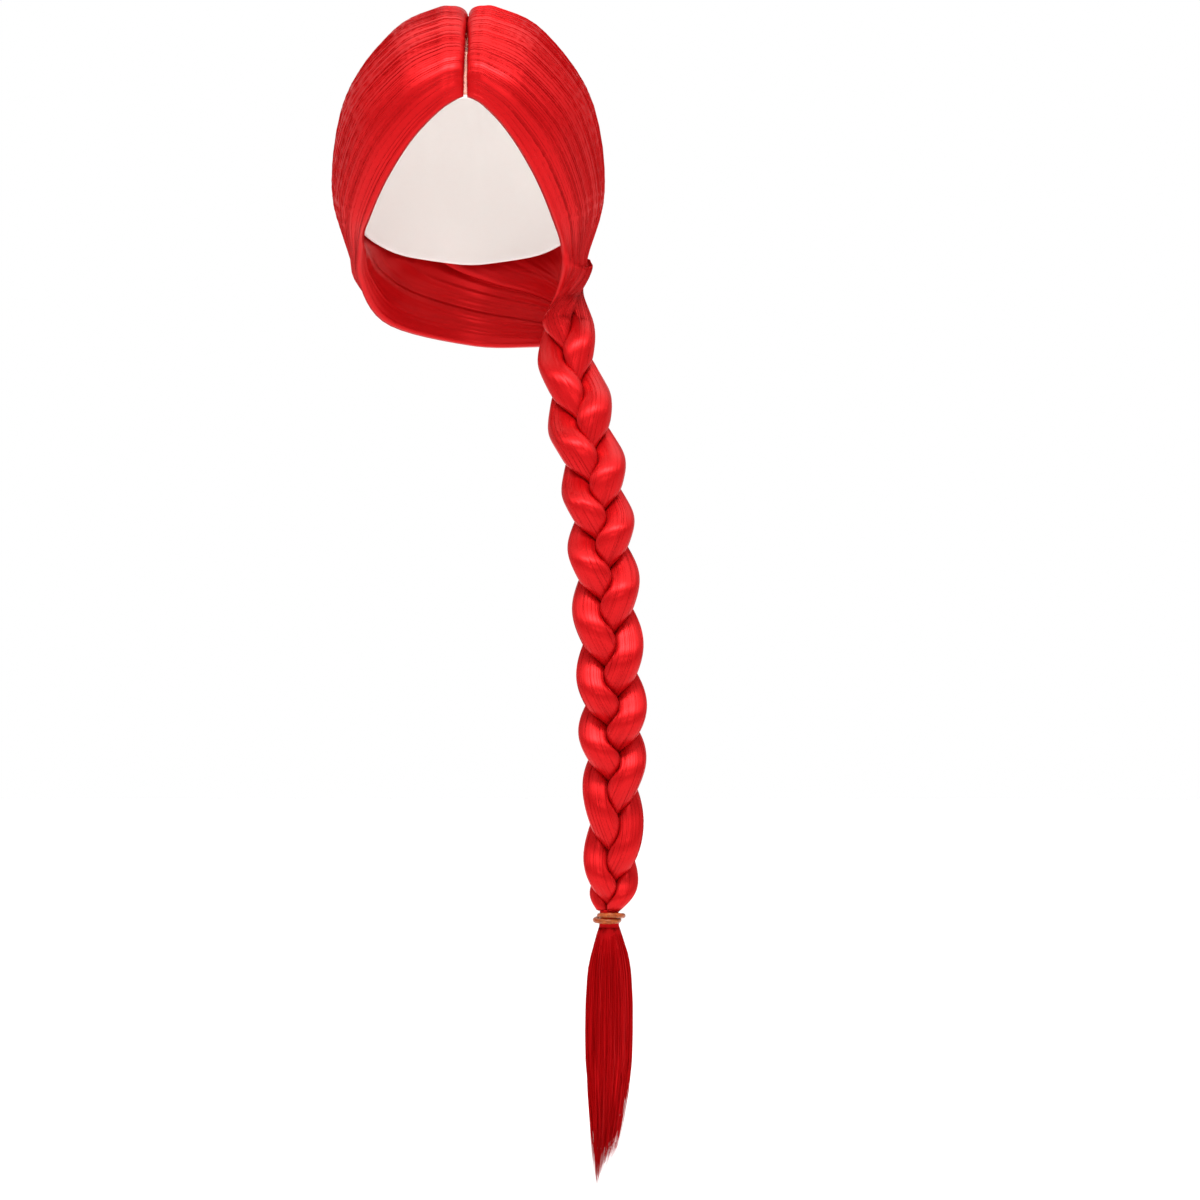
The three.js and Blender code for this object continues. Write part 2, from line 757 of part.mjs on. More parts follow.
place('hair_right', sheetBody('hair_right'), hairMaterial);
place('hair_left', cutBy(sheetBody('hair_left'), [sheetBody('hair_right', seamGap)]), hairMaterial);
place('hair_back', cutBy(sheetBody('hair_back'), [
  sheetBody('hair_right', seamGap),
  sheetBody('hair_left', seamGap),
  sheetBody('hair_left'),
]), hairMaterial);

const cutGap = strandGap - 2 * touchGap;
const napeCutter = loft(strandRings('nape', cutGap));
const backCutter = loft(strandRings('back', cutGap));
place('braid_strand_nape', loft(strandRings('nape', strandGap)), hairMaterial);
place('braid_strand_back', cutBy(loft(strandRings('back', strandGap)), [napeCutter]), hairMaterial);
const sideStrand = cutBy(loft(strandRings('side', strandGap)), [napeCutter, backCutter]);
place('braid_strand_side', sideStrand, hairMaterial);

place('elastic_tie', elasticGeometry(), elasticMaterial);
place('tail', tailGeometry(), hairMaterial);

export default group;
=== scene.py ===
# %% [markdown]
# A braided wig, dressed for the camera.
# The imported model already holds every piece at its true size: a thin cap, three sheets of hair that
# leave a centre parting, the three strands of a braid, an elastic and a loose tail. The solids are
# plain and coarse, so each of them is replaced here by a finely modelled piece in the same place.
# Lengths are metres. Up is +Z, the wearer faces -Y, and the top of the head seats at the origin.

# %% Load the model
import math

import bmesh
import bpy
import numpy as np
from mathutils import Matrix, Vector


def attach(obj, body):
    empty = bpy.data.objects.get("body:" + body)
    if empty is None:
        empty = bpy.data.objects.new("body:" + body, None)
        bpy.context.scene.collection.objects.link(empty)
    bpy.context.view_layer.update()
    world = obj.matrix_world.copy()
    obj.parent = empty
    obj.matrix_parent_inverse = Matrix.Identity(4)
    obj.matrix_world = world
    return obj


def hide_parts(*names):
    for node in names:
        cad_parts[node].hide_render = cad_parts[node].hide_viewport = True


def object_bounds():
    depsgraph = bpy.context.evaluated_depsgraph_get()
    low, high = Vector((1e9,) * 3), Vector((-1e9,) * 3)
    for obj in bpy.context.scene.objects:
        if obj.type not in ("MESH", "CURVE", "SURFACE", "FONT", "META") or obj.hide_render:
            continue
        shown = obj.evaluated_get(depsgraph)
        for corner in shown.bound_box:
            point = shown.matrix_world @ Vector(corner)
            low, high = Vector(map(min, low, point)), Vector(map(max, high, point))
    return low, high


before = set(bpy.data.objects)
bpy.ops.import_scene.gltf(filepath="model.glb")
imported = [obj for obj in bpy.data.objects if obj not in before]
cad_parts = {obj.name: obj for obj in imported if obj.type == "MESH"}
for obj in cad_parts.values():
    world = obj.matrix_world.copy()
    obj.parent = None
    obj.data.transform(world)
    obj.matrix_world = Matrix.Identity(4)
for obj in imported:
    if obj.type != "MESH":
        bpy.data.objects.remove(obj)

cad_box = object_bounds()
print("nodes:", ", ".join(sorted(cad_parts)))

# %% [markdown]
# Hair is drawn by a few guide locks. Each guide leaves the parting, bends over the head along a
# smooth curve and passes a few places below it. A sheet of hair is then whatever lies between its
# guides. Directions are given as two angles from the middle of the head: side leans towards an ear,
# turn goes from the face over the crown to the back.

# %% The head and its directions
MM = 0.001
HEAD_AXES = np.array([77.0, 91.0, 100.0]) * MM
HEAD_MIDDLE = np.array([0.0, 5.0, -98.5]) * MM
CAP_WALL = 1.5 * MM


def direction(side, turn):
    side, turn = math.radians(side), math.radians(turn)
    return np.array([
        math.sin(side),
        -math.cos(side) * math.cos(turn),
        math.cos(side) * math.sin(turn),
    ])


def unit(vectors):
    return vectors / np.linalg.norm(vectors, axis=-1, keepdims=True)


def head_normal(toward):
    return unit(toward / HEAD_AXES)


def on_head(toward, lift):
    return HEAD_MIDDLE + toward * HEAD_AXES + head_normal(toward) * lift


def below_head(side, back, rise):
    return np.array([side, back, rise]) * HEAD_AXES + [0, HEAD_MIDDLE[1], HEAD_MIDDLE[2]]


def smooth(share):
    held = np.clip(share, 0, 1)
    return held * held * (3 - 2 * held)


def along_curve(points, at):
    """Points on a smooth line through the rows of an array, at shares of its length."""
    points = np.asarray(points, float)
    rows = np.concatenate([2 * points[:1] - points[1:2], points, 2 * points[-1:] - points[-2:-1]])
    place = np.clip(np.asarray(at, float), 0, 1) * (len(points) - 1)
    first = np.minimum(place.astype(int), len(points) - 2)
    t = (place - first).reshape((-1,) + (1,) * (points.ndim - 1))
    a, b, c, d = rows[first], rows[first + 1], rows[first + 2], rows[first + 3]
    leave, arrive = 0.5 * (c - a), 0.5 * (d - b)
    return ((2 * b - 2 * c + leave + arrive) * t**3
            + (3 * c - 3 * b - 2 * leave - arrive) * t**2 + leave * t + b)


print("head", np.round(HEAD_AXES * 2000), "mm over the cap")

# %% The guide locks of the three sheets
# How far the roots lie off the parting, in degrees: at the forehead, behind it and at the crown
ROOT_SIDE = 0.9
MIDDLE_ROOT_SIDE = 0.75 * ROOT_SIDE
CROWN_ROOT_SIDE = 0.4


def guide(root, lead, bend, leave, below):
    """One guide: four directions over the head, then places below it in shares of the head's size."""
    return dict(root=root, lead=lead, bend=bend, leave=leave, below=below)


right_seam = guide((-CROWN_ROOT_SIDE, 92), (-24, 96), (-60, 136), (-31, -160), [
    (-0.36, 0.88, -0.46), (-0.14, 0.95, -0.58), (0.20, 0.95, -0.68), (0.58, 0.78, -0.77),
    (0.83, 0.40, -0.88)])
left_seam = guide((CROWN_ROOT_SIDE, 92), (22, 95), (71, 104), (58, -121.5), [
    (0.925, 0.27, -0.53), (0.90, 0.23, -0.60), (0.865, 0.17, -0.67), (0.835, 0.10, -0.74),
    (0.82, 0.02, -0.82)])

right_guides = [
    guide((-ROOT_SIDE, 26.9), (-23, 18), (-41.3, -13.9), (-59.9, -64.7), [
        (-0.90, 0.14, -0.68), (-0.68, 0.50, -0.95), (0, 0.80, -1.08), (0.50, 0.66, -1.10),
        (0.75, 0.34, -1.09)]),
    guide((-MIDDLE_ROOT_SIDE, 45), (-16, 44), (-60, 14), (-58.1, -103), [
        (-0.79, 0.34, -0.64), (-0.53, 0.66, -0.78), (0, 0.86, -0.90), (0.52, 0.70, -0.97),
        (0.78, 0.36, -1.01)]),
    guide((-CROWN_ROOT_SIDE, 66), (-20, 66), (-74, 42), (-50, -140), [
        (-0.68, 0.60, -0.56), (-0.44, 0.79, -0.69), (0.06, 0.92, -0.80), (0.55, 0.75, -0.88),
        (0.81, 0.38, -0.95)]),
    right_seam,
]
back_guides = [
    right_seam,
    guide((-CROWN_ROOT_SIDE, 119), (-13, 133), (-22, 165), (-7, -168.5), [
        (0.06, 0.99, -0.36), (0.28, 0.95, -0.48), (0.54, 0.82, -0.59), (0.76, 0.57, -0.70),
        (0.86, 0.30, -0.83)]),
    guide((CROWN_ROOT_SIDE, 119), (12, 130), (26, 158), (29, -163), [
        (0.60, 0.80, -0.38), (0.71, 0.70, -0.49), (0.80, 0.54, -0.60), (0.86, 0.35, -0.70),
        (0.87, 0.19, -0.81)]),
    left_seam,
]
left_guides = [
    guide((ROOT_SIDE, 26.9), (14.1, 24.5), (37.2, -12.2), (52.2, -55.2), [
        (0.815, -0.31, -0.60), (0.805, -0.27, -0.66), (0.785, -0.22, -0.725), (0.755, -0.17, -0.795),
        (0.715, -0.125, -0.87)]),
    guide((MIDDLE_ROOT_SIDE, 45), (13, 44), (60, 16), (57.6, -73.9), [
        (0.87, -0.14, -0.595), (0.865, -0.13, -0.655), (0.84, -0.115, -0.72), (0.81, -0.10, -0.79),
        (0.77, -0.085, -0.865)]),
    guide((CROWN_ROOT_SIDE, 66), (18, 66), (75, 44), (59.6, -98.6), [
        (0.92, 0.06, -0.575), (0.915, 0.055, -0.64), (0.89, 0.04, -0.71), (0.85, 0.02, -0.78),
        (0.81, -0.02, -0.85)]),
    left_seam,
]
print("guides:", len(right_guides), len(back_guides), len(left_guides))

# %% [markdown]
# The braid hangs on one smooth route. Across it, each of the three strands sways from side to side
# and dives behind or in front, a third of a round apart, so that a strand moving inwards is always
# the one in front. Each section of a strand is an oval, held back where it meets its neighbours, so
# the strands press against each other as real ones do and never pass through.

# %% The route and the sections of the braid
BRAID_HALF_WIDTH = 22.5 * MM
BRAID_DROP = 382 * MM
BRAID_LEAN = 28.5 * MM
BRAID_FORWARD = 87 * MM
BRAID_TOP = np.array([HEAD_AXES[0] - 12.6 * MM, HEAD_MIDDLE[1] - 3 * MM, HEAD_MIDDLE[2] - 100.5 * MM])
STRAND_GAP = 0.25 * MM

# One row per crossing: shares of the drop, of the sideways lean and of the forward reach
ROUTE = np.array([
    (-0.062, -0.10, -0.17), (0.062, 0.08, 0.16), (0.183, 0.42, 0.53), (0.290, 0.71, 0.79),
    (0.386, 0.84, 0.92), (0.490, 0.95, 1.00), (0.601, 1.04, 1.03), (0.698, 1.09, 1.03),
    (0.792, 1.10, 1.02), (0.914, 1.08, 1.01), (1.000, 1.00, 1.00)])
CROSSINGS = len(ROUTE) - 1
# The sheets become strands at this crossing, led by a section a little further on
BRAID_START, LEAD_CROSSINGS = 0.5, 0.25
# Half width of the braid: the crossing, then the share of the full half width
GIRTH = np.array([
    (0.5, 0.85), (1, 0.95), (2, 1.03), (3, 1.0), (7, 1.0), (8, 0.89), (9, 0.85), (9.5, 0.78), (9.8, 0.62),
    (10, 0.36)])
# Where each strand is on its round at the crossing counted as nought, and its turn per crossing
STRAND_PHASE = {"nape": 150, "back": 30, "side": 270}
TURN_PER_CROSSING = 120
# How far a strand sways and dives, and its half width and depth, in shares of the braid's half width
SWAY, STRAND_WIDTH, DIVE, STRAND_DEPTH = 0.47, 0.53, 0.29, 0.38
# How sharply a strand flattens against its neighbours, where high is sharp, and how many corners to
# either side take part as its section is rounded
SHARPNESS = 10
CORNER_STEPS = (1, 2, 3, 4)

route_points = BRAID_TOP + ROUTE[:, [1, 2, 0]] * [BRAID_LEAN, -BRAID_FORWARD, -BRAID_DROP]


def softened(values, reach, passes=3):
    """Averages the rows of an array with their neighbours, and keeps its ends straight."""
    for _ in range(passes):
        steps = np.arange(1, reach + 1)[:, None]
        before = values[0] - (values[steps[::-1, 0]] - values[0])
        after = values[-1] - (values[-1 - steps[:, 0]] - values[-1])
        sums = np.cumsum(np.concatenate([before[:1] * 0, before, values, after]), axis=0)
        values = (sums[2 * reach + 1:] - sums[:-2 * reach - 1]) / (2 * reach + 1)
    return values


# The route and the girth are read from fine tables, softened so that no joint shows in the gloss
FINE_ROWS, ROUTE_SOFTENING, GIRTH_SOFTENING = 1001, 22, 12
FINE = np.linspace(0, CROSSINGS, FINE_ROWS)
fine_route = softened(along_curve(route_points, FINE / CROSSINGS), ROUTE_SOFTENING)
fine_along = unit(np.gradient(fine_route, axis=0))
girth_shares = np.interp(FINE, GIRTH[:, 0], GIRTH[:, 1])[:, None]
fine_girth = softened(girth_shares, GIRTH_SOFTENING)[:, 0] * BRAID_HALF_WIDTH


def braid_frame(crossing):
    """The middle of the braid at a crossing, with its length, side and front directions."""
    middle, along = (np.array([np.interp(crossing, FINE, table[:, axis]) for axis in range(3)])
                     for table in (fine_route, fine_along))
    along = unit(along)
    side = unit(np.array([1.0, 0, 0]) - along[0] * along)
    return middle, along, side, np.cross(along, side)


def strand_middle(strand, crossing):
    """How far a strand has swayed and dived, and the half width of the braid there."""
    half = np.interp(crossing, FINE, fine_girth)
    phase = math.radians(STRAND_PHASE[strand] + crossing * TURN_PER_CROSSING)
    return half * SWAY * math.sin(phase), -half * DIVE * math.sin(2 * phase), half


def strand_section(strand, crossing, angles, gap=STRAND_GAP):
    """The outline of a strand across the braid, at angles from its side round by its front."""
    sway, dive, half = strand_middle(strand, crossing)
    middle, _, side, forward = braid_frame(crossing)
    across, ahead = np.cos(angles), np.sin(angles)
    held_back = np.hypot(across / (half * STRAND_WIDTH), ahead / (half * STRAND_DEPTH)) ** SHARPNESS
    for other in STRAND_PHASE:
        if other != strand:
            to_sway, to_dive, _ = strand_middle(other, crossing)
            apart = math.hypot(to_sway - sway, to_dive - dive)
            facing = (across * (to_sway - sway) + ahead * (to_dive - dive)) / apart
            held_back = held_back + (np.maximum(facing, 0) * 2 / (apart - gap)) ** SHARPNESS
    reach = held_back ** (-1 / SHARPNESS)
    rounded = reach
    for turn in CORNER_STEPS:
        rounded = np.minimum(reach, (rounded + np.roll(reach, turn) + np.roll(reach, -turn)) / 3)
    return middle + np.outer(sway + across * rounded, side) + np.outer(dive + ahead * rounded, forward)


route_length = np.sum(np.linalg.norm(np.diff(route_points, axis=0), axis=1))
print("braid route", round(float(route_length), 3), "m long")

# %% [markdown]
# The relief of combed hair is a sum of soft ribs that run with the flow and hardly change along it.
# A seeded random table, read smoothly, gives the same ribs on every run.

# %% Smooth seeded relief
def relief_table(seed, across, along):
    """Random heights, one column per rib round the piece and one row per change along it."""
    return np.random.RandomState(seed).rand(along + 1, across)


def read_relief(table, across, along):
    """Reads the table at shares 0 to 1; across wraps round, along doesn't."""
    rows, columns = table.shape
    x = (across % 1) * columns
    y = np.clip(along, 0, 1) * (rows - 1)
    column = np.floor(x).astype(int)
    row = np.minimum(np.floor(y).astype(int), rows - 2)
    fx, fy = smooth(x - column), smooth(y - row)
    near, far = column % columns, (column + 1) % columns
    upper = table[row, near] * (1 - fx) + table[row, far] * fx
    lower = table[row + 1, near] * (1 - fx) + table[row + 1, far] * fx
    return upper * (1 - fy) + lower * fy - 0.5


# Ribs across a whole ring, changes along it, height
LOCK_RIBS = [(16, 4, 0.9 * MM), (38, 5, 0.5 * MM), (90, 6, 0.3 * MM)]


def hair_relief(seed, across, along):
    height = 0
    for number, (ribs, changes, amount) in enumerate(LOCK_RIBS):
        height = height + amount * read_relief(relief_table(seed + number, ribs, changes), across, along)
    return height


print("ribs round a lock:", ", ".join(str(ribs) for ribs, _, _ in LOCK_RIBS))


# %% [markdown]
# A lock is modelled in one go from the parting to the elastic. Its upper part is a sheet that is
# thin at the roots and at its edges; its lower part is a strand of the braid. Both are rows of rings,
# so a grid made with one bmesh operator is rolled up, its long edges are merged, and its ends filled.

# %% Sizes of the sheets and the middle line of a guide
HAIR_GAP = 1.2 * MM
HAIR_THICKNESS = 12.3 * MM
# Neighbouring sheets overlap by this much, so that no light shows between them
SEAM_OVERLAP = 1.8 * MM
# Over the head: the share of the way, then the share of the full thickness
HEAD_PART = [
    (0, 0.36), (0.015, 0.6), (0.045, 0.77), (0.09, 0.87), (0.17, 0.94), (0.36, 1), (0.58, 1), (0.8, 1),
    (1, 0.94)]
# Below the head: thickness, turn from the head's direction to the sheet's, gathering of a sheet
# that closes early into its strand
BELOW_PART = [(0.94, 0.2, 0.04), (0.9, 0.5, 0.16), (0.86, 0.8, 0.34), (0.81, 1, 0.58), (0.76, 1, 0.82)]
# Thickness left at an edge beside the face and at a seam, and how wide the rounded edge is
FACE_EDGE, SEAM_EDGE, EDGE_REACH = 0.34, 0.8, 0.22
COLUMNS = 80
SHEET_ROWS = 96
ROWS_PER_CROSSING = 17


def guide_points(lock):
    """The points of a guide: a curve over the head from its four directions, then its places below."""
    poles = np.array([direction(*lock[key]) for key in ("root", "lead", "bend", "leave")])
    over_head = []
    for along, _ in HEAD_PART:
        rest = 1 - along
        weights = [rest**3, 3 * rest**2 * along, 3 * rest * along**2, along**3]
        over_head.append(on_head(unit(np.dot(weights, poles)), HAIR_GAP))
    return np.array(over_head + [below_head(*place) for place in lock["below"]])


def edge_share(across, first_edge, last_edge):
    """Thickness across a sheet: full in the middle, rounded down to its two long edges."""
    first = first_edge + (1 - first_edge) * np.sin(np.minimum(1, across / EDGE_REACH) * math.pi / 2)
    last = last_edge + (1 - last_edge) * np.sin(np.minimum(1, (1 - across) / EDGE_REACH) * math.pi / 2)
    return first * last


def lay_on_head(points, lift):
    """Moves what is nearer to the head than the lift out to it."""
    toward = (points - HEAD_MIDDLE) / HEAD_AXES
    length = np.linalg.norm(toward, axis=-1, keepdims=True)
    inside = length < 1 + lift / HEAD_AXES.min()
    return np.where(inside, on_head(toward / length, lift), points)


print("full thickness of the hair", round(HAIR_THICKNESS / MM, 1), "mm")

# %% Rings of one lock
CORNER_INSET = 1.5


def ring_angles(first_angle):
    """Angles in a strand's section that match the corners of a sheet, its outer face first."""
    turn = -1 if first_angle > 90 else 1
    half = np.linspace(0, 180, COLUMNS + 1)
    half[0], half[-1] = CORNER_INSET, 180 - CORNER_INSET
    return np.radians(first_angle + turn * np.concatenate([half, 180 + half]))


def lock_rings(lock):
    """Rings from the parting to the elastic, shaped (rows, ring, 3)."""
    lines = np.array([guide_points(one) for one in lock["guides"]])
    across = np.linspace(0, 1, COLUMNS + 1)
    base = along_curve(lines, across).transpose(1, 0, 2)
    toward = (base - HEAD_MIDDLE) / HEAD_AXES
    radial = head_normal(toward)
    base[:len(HEAD_PART)] = on_head(unit(toward[:len(HEAD_PART)]), HAIR_GAP)
    widthways = unit(np.gradient(base, axis=1))
    upright = unit(np.cross(widthways, np.gradient(base, axis=0)))
    upright *= np.where(np.sum(upright * radial, axis=-1, keepdims=True) < 0, -1, 1)
    turned = np.array([0.0] * len(HEAD_PART) + [turned for _, turned, _ in BELOW_PART])[:, None, None]
    normal = unit(radial * (1 - turned) + upright * turned)
    base[:, 0] -= widthways[:, 0] * SEAM_OVERLAP
    base[:, -1] += widthways[:, -1] * SEAM_OVERLAP
    share = np.array([part for _, part in HEAD_PART] + [part for part, _, _ in BELOW_PART])
    edges = edge_share(across, lock["first_edge"], lock["last_edge"])
    thickness = HAIR_THICKNESS * share[:, None] * edges[None, :]
    outer = base + normal * thickness[..., None]
    control = np.concatenate([outer, base[:, ::-1]], axis=1)
    angles = ring_angles(lock["first_angle"])
    first = strand_section(lock["strand"], BRAID_START, angles)
    lead = strand_section(lock["strand"], BRAID_START + LEAD_CROSSINGS, angles)
    for number, (_, _, gather) in enumerate(BELOW_PART):
        ring = control[len(HEAD_PART) + number]
        oval = first - first.mean(axis=0) + ring.mean(axis=0)
        control[len(HEAD_PART) + number] = ring + (oval - ring) * gather * lock["closing"]
    control = np.concatenate([control, [first, lead]])
    reach = (len(control) - 2) / (len(control) - 1)
    sheet = along_curve(control, np.linspace(0, reach, SHEET_ROWS + 1))
    sheet = lay_on_head(sheet, HAIR_GAP)
    strand_rows = int((CROSSINGS - BRAID_START) * ROWS_PER_CROSSING)
    places = np.linspace(BRAID_START, CROSSINGS, strand_rows + 1)[1:]
    strand = np.array([strand_section(lock["strand"], place, angles) for place in places])
    return np.concatenate([sheet, strand])


# %% Lengths and directions on rings
def ring_lengths(rings):
    """The length from the first ring to each ring, along their middles."""
    steps = np.linalg.norm(np.diff(rings.mean(axis=1), axis=0), axis=1)
    return np.concatenate([[0], np.cumsum(steps)])


def ring_normals(rings):
    """The outward direction at each corner of each ring."""
    around = np.roll(rings, -1, axis=1) - np.roll(rings, 1, axis=1)
    normals = np.cross(around, np.gradient(rings, axis=0))
    normals = normals / np.maximum(np.linalg.norm(normals, axis=-1, keepdims=True), 1e-12)
    outward = np.sum(normals * (rings - rings.mean(axis=1, keepdims=True)), axis=-1).sum()
    return normals if outward > 0 else -normals


# Closing says how early a sheet gathers: 1 is early, 0 is at the braid itself
LOCKS = {
    "lock_right": dict(
        guides=right_guides, first_edge=FACE_EDGE, last_edge=SEAM_EDGE, strand="nape", first_angle=-90,
        closing=0.05, seed=11, nodes=("hair_right", "braid_strand_nape")),
    "lock_left": dict(
        guides=left_guides, first_edge=FACE_EDGE, last_edge=SEAM_EDGE, strand="side", first_angle=180,
        closing=1, seed=23, nodes=("hair_left", "braid_strand_side")),
    "lock_back": dict(
        guides=back_guides, first_edge=SEAM_EDGE, last_edge=SEAM_EDGE, strand="back", first_angle=-90,
        closing=0.05, seed=37, nodes=("hair_back", "braid_strand_back")),
}
print("locks:", ", ".join(LOCKS))

# %% [markdown]
# A piece made from rings starts as a flat grid. Its corners move onto the rings, its two long edges
# meet and are merged, and the open ends are filled. The grid's own UV map comes along, so it can hold
# the place round the piece and the length along it, which the hair's material reads.

# %% A rolled grid made into a piece
MERGE_DISTANCE = 1e-7


def new_piece(name, build):
    """A smooth-shaded object from a function that fills a bmesh."""
    mesh = bpy.data.meshes.new(name)
    shape = bmesh.new()
    build(shape)
    bmesh.ops.recalc_face_normals(shape, faces=shape.faces)
    shape.to_mesh(mesh)
    shape.free()
    mesh.polygons.foreach_set("use_smooth", [True] * len(mesh.polygons))
    piece = bpy.data.objects.new(name, mesh)
    bpy.context.collection.objects.link(piece)
    return piece


def rolled_grid(shape, rings, lengths, fill=True):
    """Rolls a grid round the rings; its UV map holds the place round the ring and the length."""
    rows, count = rings.shape[:2]
    made = bmesh.ops.create_grid(shape, x_segments=count, y_segments=rows - 1, size=1.0, calc_uvs=True)
    shape.verts.ensure_lookup_table()
    for vert in made["verts"]:
        column = round((vert.co.x + 1) / 2 * count)
        row = round((vert.co.y + 1) / 2 * (rows - 1))
        vert.co = rings[row, column % count]
    layer = shape.loops.layers.uv.verify()
    for face in shape.faces:
        for loop in face.loops:
            u, v = loop[layer].uv
            loop[layer].uv = (u, lengths[round(v * (rows - 1))])
    seam = [vert for vert in made["verts"] if vert.is_valid and vert.is_boundary]
    bmesh.ops.remove_doubles(shape, verts=seam, dist=MERGE_DISTANCE)
    if fill:
        bmesh.ops.holes_fill(shape, edges=[edge for edge in shape.edges if edge.is_boundary], sides=0)


def dress(piece, slot, material, *nodes):
    """Gives a piece its material and hides the nodes that it stands for; slot is not used."""
    piece.data.uv_layers[0].name = "flow"
    piece.data.materials.append(material)
    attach(piece, "root")
    if nodes:
        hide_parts(*nodes)
    print(piece.name, len(piece.data.polygons), "faces")


# %% [markdown]
# Glossy synthetic hair is red all through, so even its highlights stay reddish. The streaks are noise
# stretched far along the flow, read from the piece's own UV map. Shading is anisotropic: the
# highlight spreads across the fibres, which gives the satin band of combed hair.

# %% Helpers for materials
def new_material(name):
    """A material, its node tree and the node of its surface."""
    material = bpy.data.materials.new(name)
    material.use_nodes = True
    return material, material.node_tree, material.node_tree.nodes["Principled BSDF"]


def settle(made, values):
    """Sets the sockets of a node by their names."""
    for socket, value in values.items():
        made.inputs[socket].default_value = value


def node(tree, kind, **values):
    """Adds a node and sets its sockets or its settings."""
    made = tree.nodes.new(kind)
    for key, value in values.items():
        if key in made.inputs:
            made.inputs[key].default_value = value
        else:
            setattr(made, key, value)
    return made


def ramp(tree, source, stops):
    """Colours by value, from stops of a place and a colour."""
    made = tree.nodes.new("ShaderNodeValToRGB")
    elements = made.color_ramp.elements
    while len(elements) < len(stops):
        elements.new(0.5)
    for element, (place, colour) in zip(elements, stops):
        element.position = place
        element.color = (*colour, 1)
    tree.links.new(source, made.inputs["Fac"])
    return made.outputs["Color"]


def streaks(tree, uv, across, along, detail, seed):
    """Noise stretched along the flow: many streaks across, few changes along."""
    mapping = node(tree, "ShaderNodeMapping")
    mapping.inputs["Scale"].default_value = (across, along, 1)
    mapping.inputs["Location"].default_value = (seed, seed * 0.37, 0)
    noise = node(tree, "ShaderNodeTexNoise", Scale=1.0, Detail=detail, Roughness=0.65)
    tree.links.new(uv, mapping.inputs["Vector"])
    tree.links.new(mapping.outputs["Vector"], noise.inputs["Vector"])
    return noise.outputs["Fac"]


def mixed(tree, first, second, share):
    both = node(tree, "ShaderNodeMix", data_type="FLOAT")
    both.inputs[0].default_value = share
    tree.links.new(first, both.inputs[2])
    tree.links.new(second, both.inputs[3])
    return both.outputs[0]


def spread(tree, source, low, high):
    made = node(tree, "ShaderNodeMapRange")
    made.inputs["From Min"].default_value, made.inputs["From Max"].default_value = 0.3, 0.7
    made.inputs["To Min"].default_value, made.inputs["To Max"].default_value = low, high
    tree.links.new(source, made.inputs["Value"])
    return made.outputs["Result"]


print("material helpers: new_material, settle, node, ramp, streaks, mixed, spread")

# %% Material of the hair
# Streaks round the piece, changes per metre, detail, seed
BROAD_STREAKS = (46, 3.5, 2, 1.3)
MIDDLE_STREAKS = (150, 5, 2, 4.7)
FINE_STREAKS = (620, 8, 2, 7.1)
# Place on the ramp, then the colour, from the shaded hollows to the crests
HAIR_TONES = [
    (0.36, (0.26, 0.0001, 0.0006)), (0.46, (0.40, 0.0004, 0.0014)), (0.56, (0.54, 0.0050, 0.0070)),
    (0.68, (0.72, 0.0280, 0.0300))]
SMOOTHEST, ROUGHEST = 0.28, 0.42


def hair_material(name, painted_shade_factor=1.0, gloss=0.55):
    """Red satin hair; a factor below 1 darkens its red as painted shade, and gloss scales its pale
    reflections.
    """
    material, tree, surface = new_material(name)
    uv = node(tree, "ShaderNodeUVMap", uv_map="flow").outputs["UV"]
    broad, middle, fine = (
        streaks(tree, uv, *kind) for kind in (BROAD_STREAKS, MIDDLE_STREAKS, FINE_STREAKS))
    streaked = mixed(tree, mixed(tree, broad, middle, 0.5), fine, 0.42)
    colour = ramp(tree, streaked, [
        (place, (red * painted_shade_factor, green, blue)) for place, (red, green, blue) in HAIR_TONES])
    tree.links.new(colour, surface.inputs["Base Color"])
    bump = node(tree, "ShaderNodeBump", Strength=0.35, Distance=0.0004)
    tree.links.new(streaked, bump.inputs["Height"])
    tree.links.new(bump.outputs["Normal"], surface.inputs["Normal"])
    roughness = spread(tree, mixed(tree, middle, fine, 0.5), SMOOTHEST, ROUGHEST)
    tree.links.new(roughness, surface.inputs["Roughness"])
    tangent = node(tree, "ShaderNodeTangent", direction_type="UV_MAP", uv_map="flow")
    tree.links.new(tangent.outputs["Tangent"], surface.inputs["Tangent"])
    settle(surface, {
        "Anisotropic": 0.75, "Metallic": 0.45, "Specular IOR Level": gloss,
        "Specular Tint": (1.0, 0.28, 0.28, 1)})
    return material


hair = hair_material("hair_gloss")
# The tail's copy darkens the red to 0.92 as painted shade, and has weaker pale reflections.
tail_hair = hair_material("hair_gloss_tail", 0.92, 0.12)
print("hair materials:", hair.name, "and", tail_hair.name)

# %% [markdown]
# Now the three locks are made. The relief is strong on the sheets and fades where the hair is pulled
# tight in the braid. Each lock stands for a sheet and for the strand that continues it.

# %% Make the three locks
# Share of the relief left on the braid, where it starts to fade and over how much of the sheet
STRAND_RELIEF, FADE_START, FADE_REACH = 0.3, 0.75, 0.3


def lock_height(lock, rows, count, lengths):
    across = np.broadcast_to(np.arange(count) / count, (rows, count))
    along = np.broadcast_to((lengths / lengths[-1])[:, None], (rows, count))
    on_braid = smooth((np.arange(rows) - FADE_START * SHEET_ROWS) / (FADE_REACH * SHEET_ROWS))[:, None]
    return hair_relief(lock["seed"], across, along) * (1 - (1 - STRAND_RELIEF) * on_braid)


for name, lock in LOCKS.items():
    rings = lock_rings(lock)
    lengths = ring_lengths(rings)
    height = lock_height(lock, *rings.shape[:2], lengths)
    rings = rings + ring_normals(rings) * height[..., None]
    lock["rings"], lock["lengths"], lock["normals"] = rings, lengths, ring_normals(rings)
    piece = new_piece(name, lambda shape: rolled_grid(shape, rings, lengths))
    dress(piece, "hair", hair, *lock["nodes"])

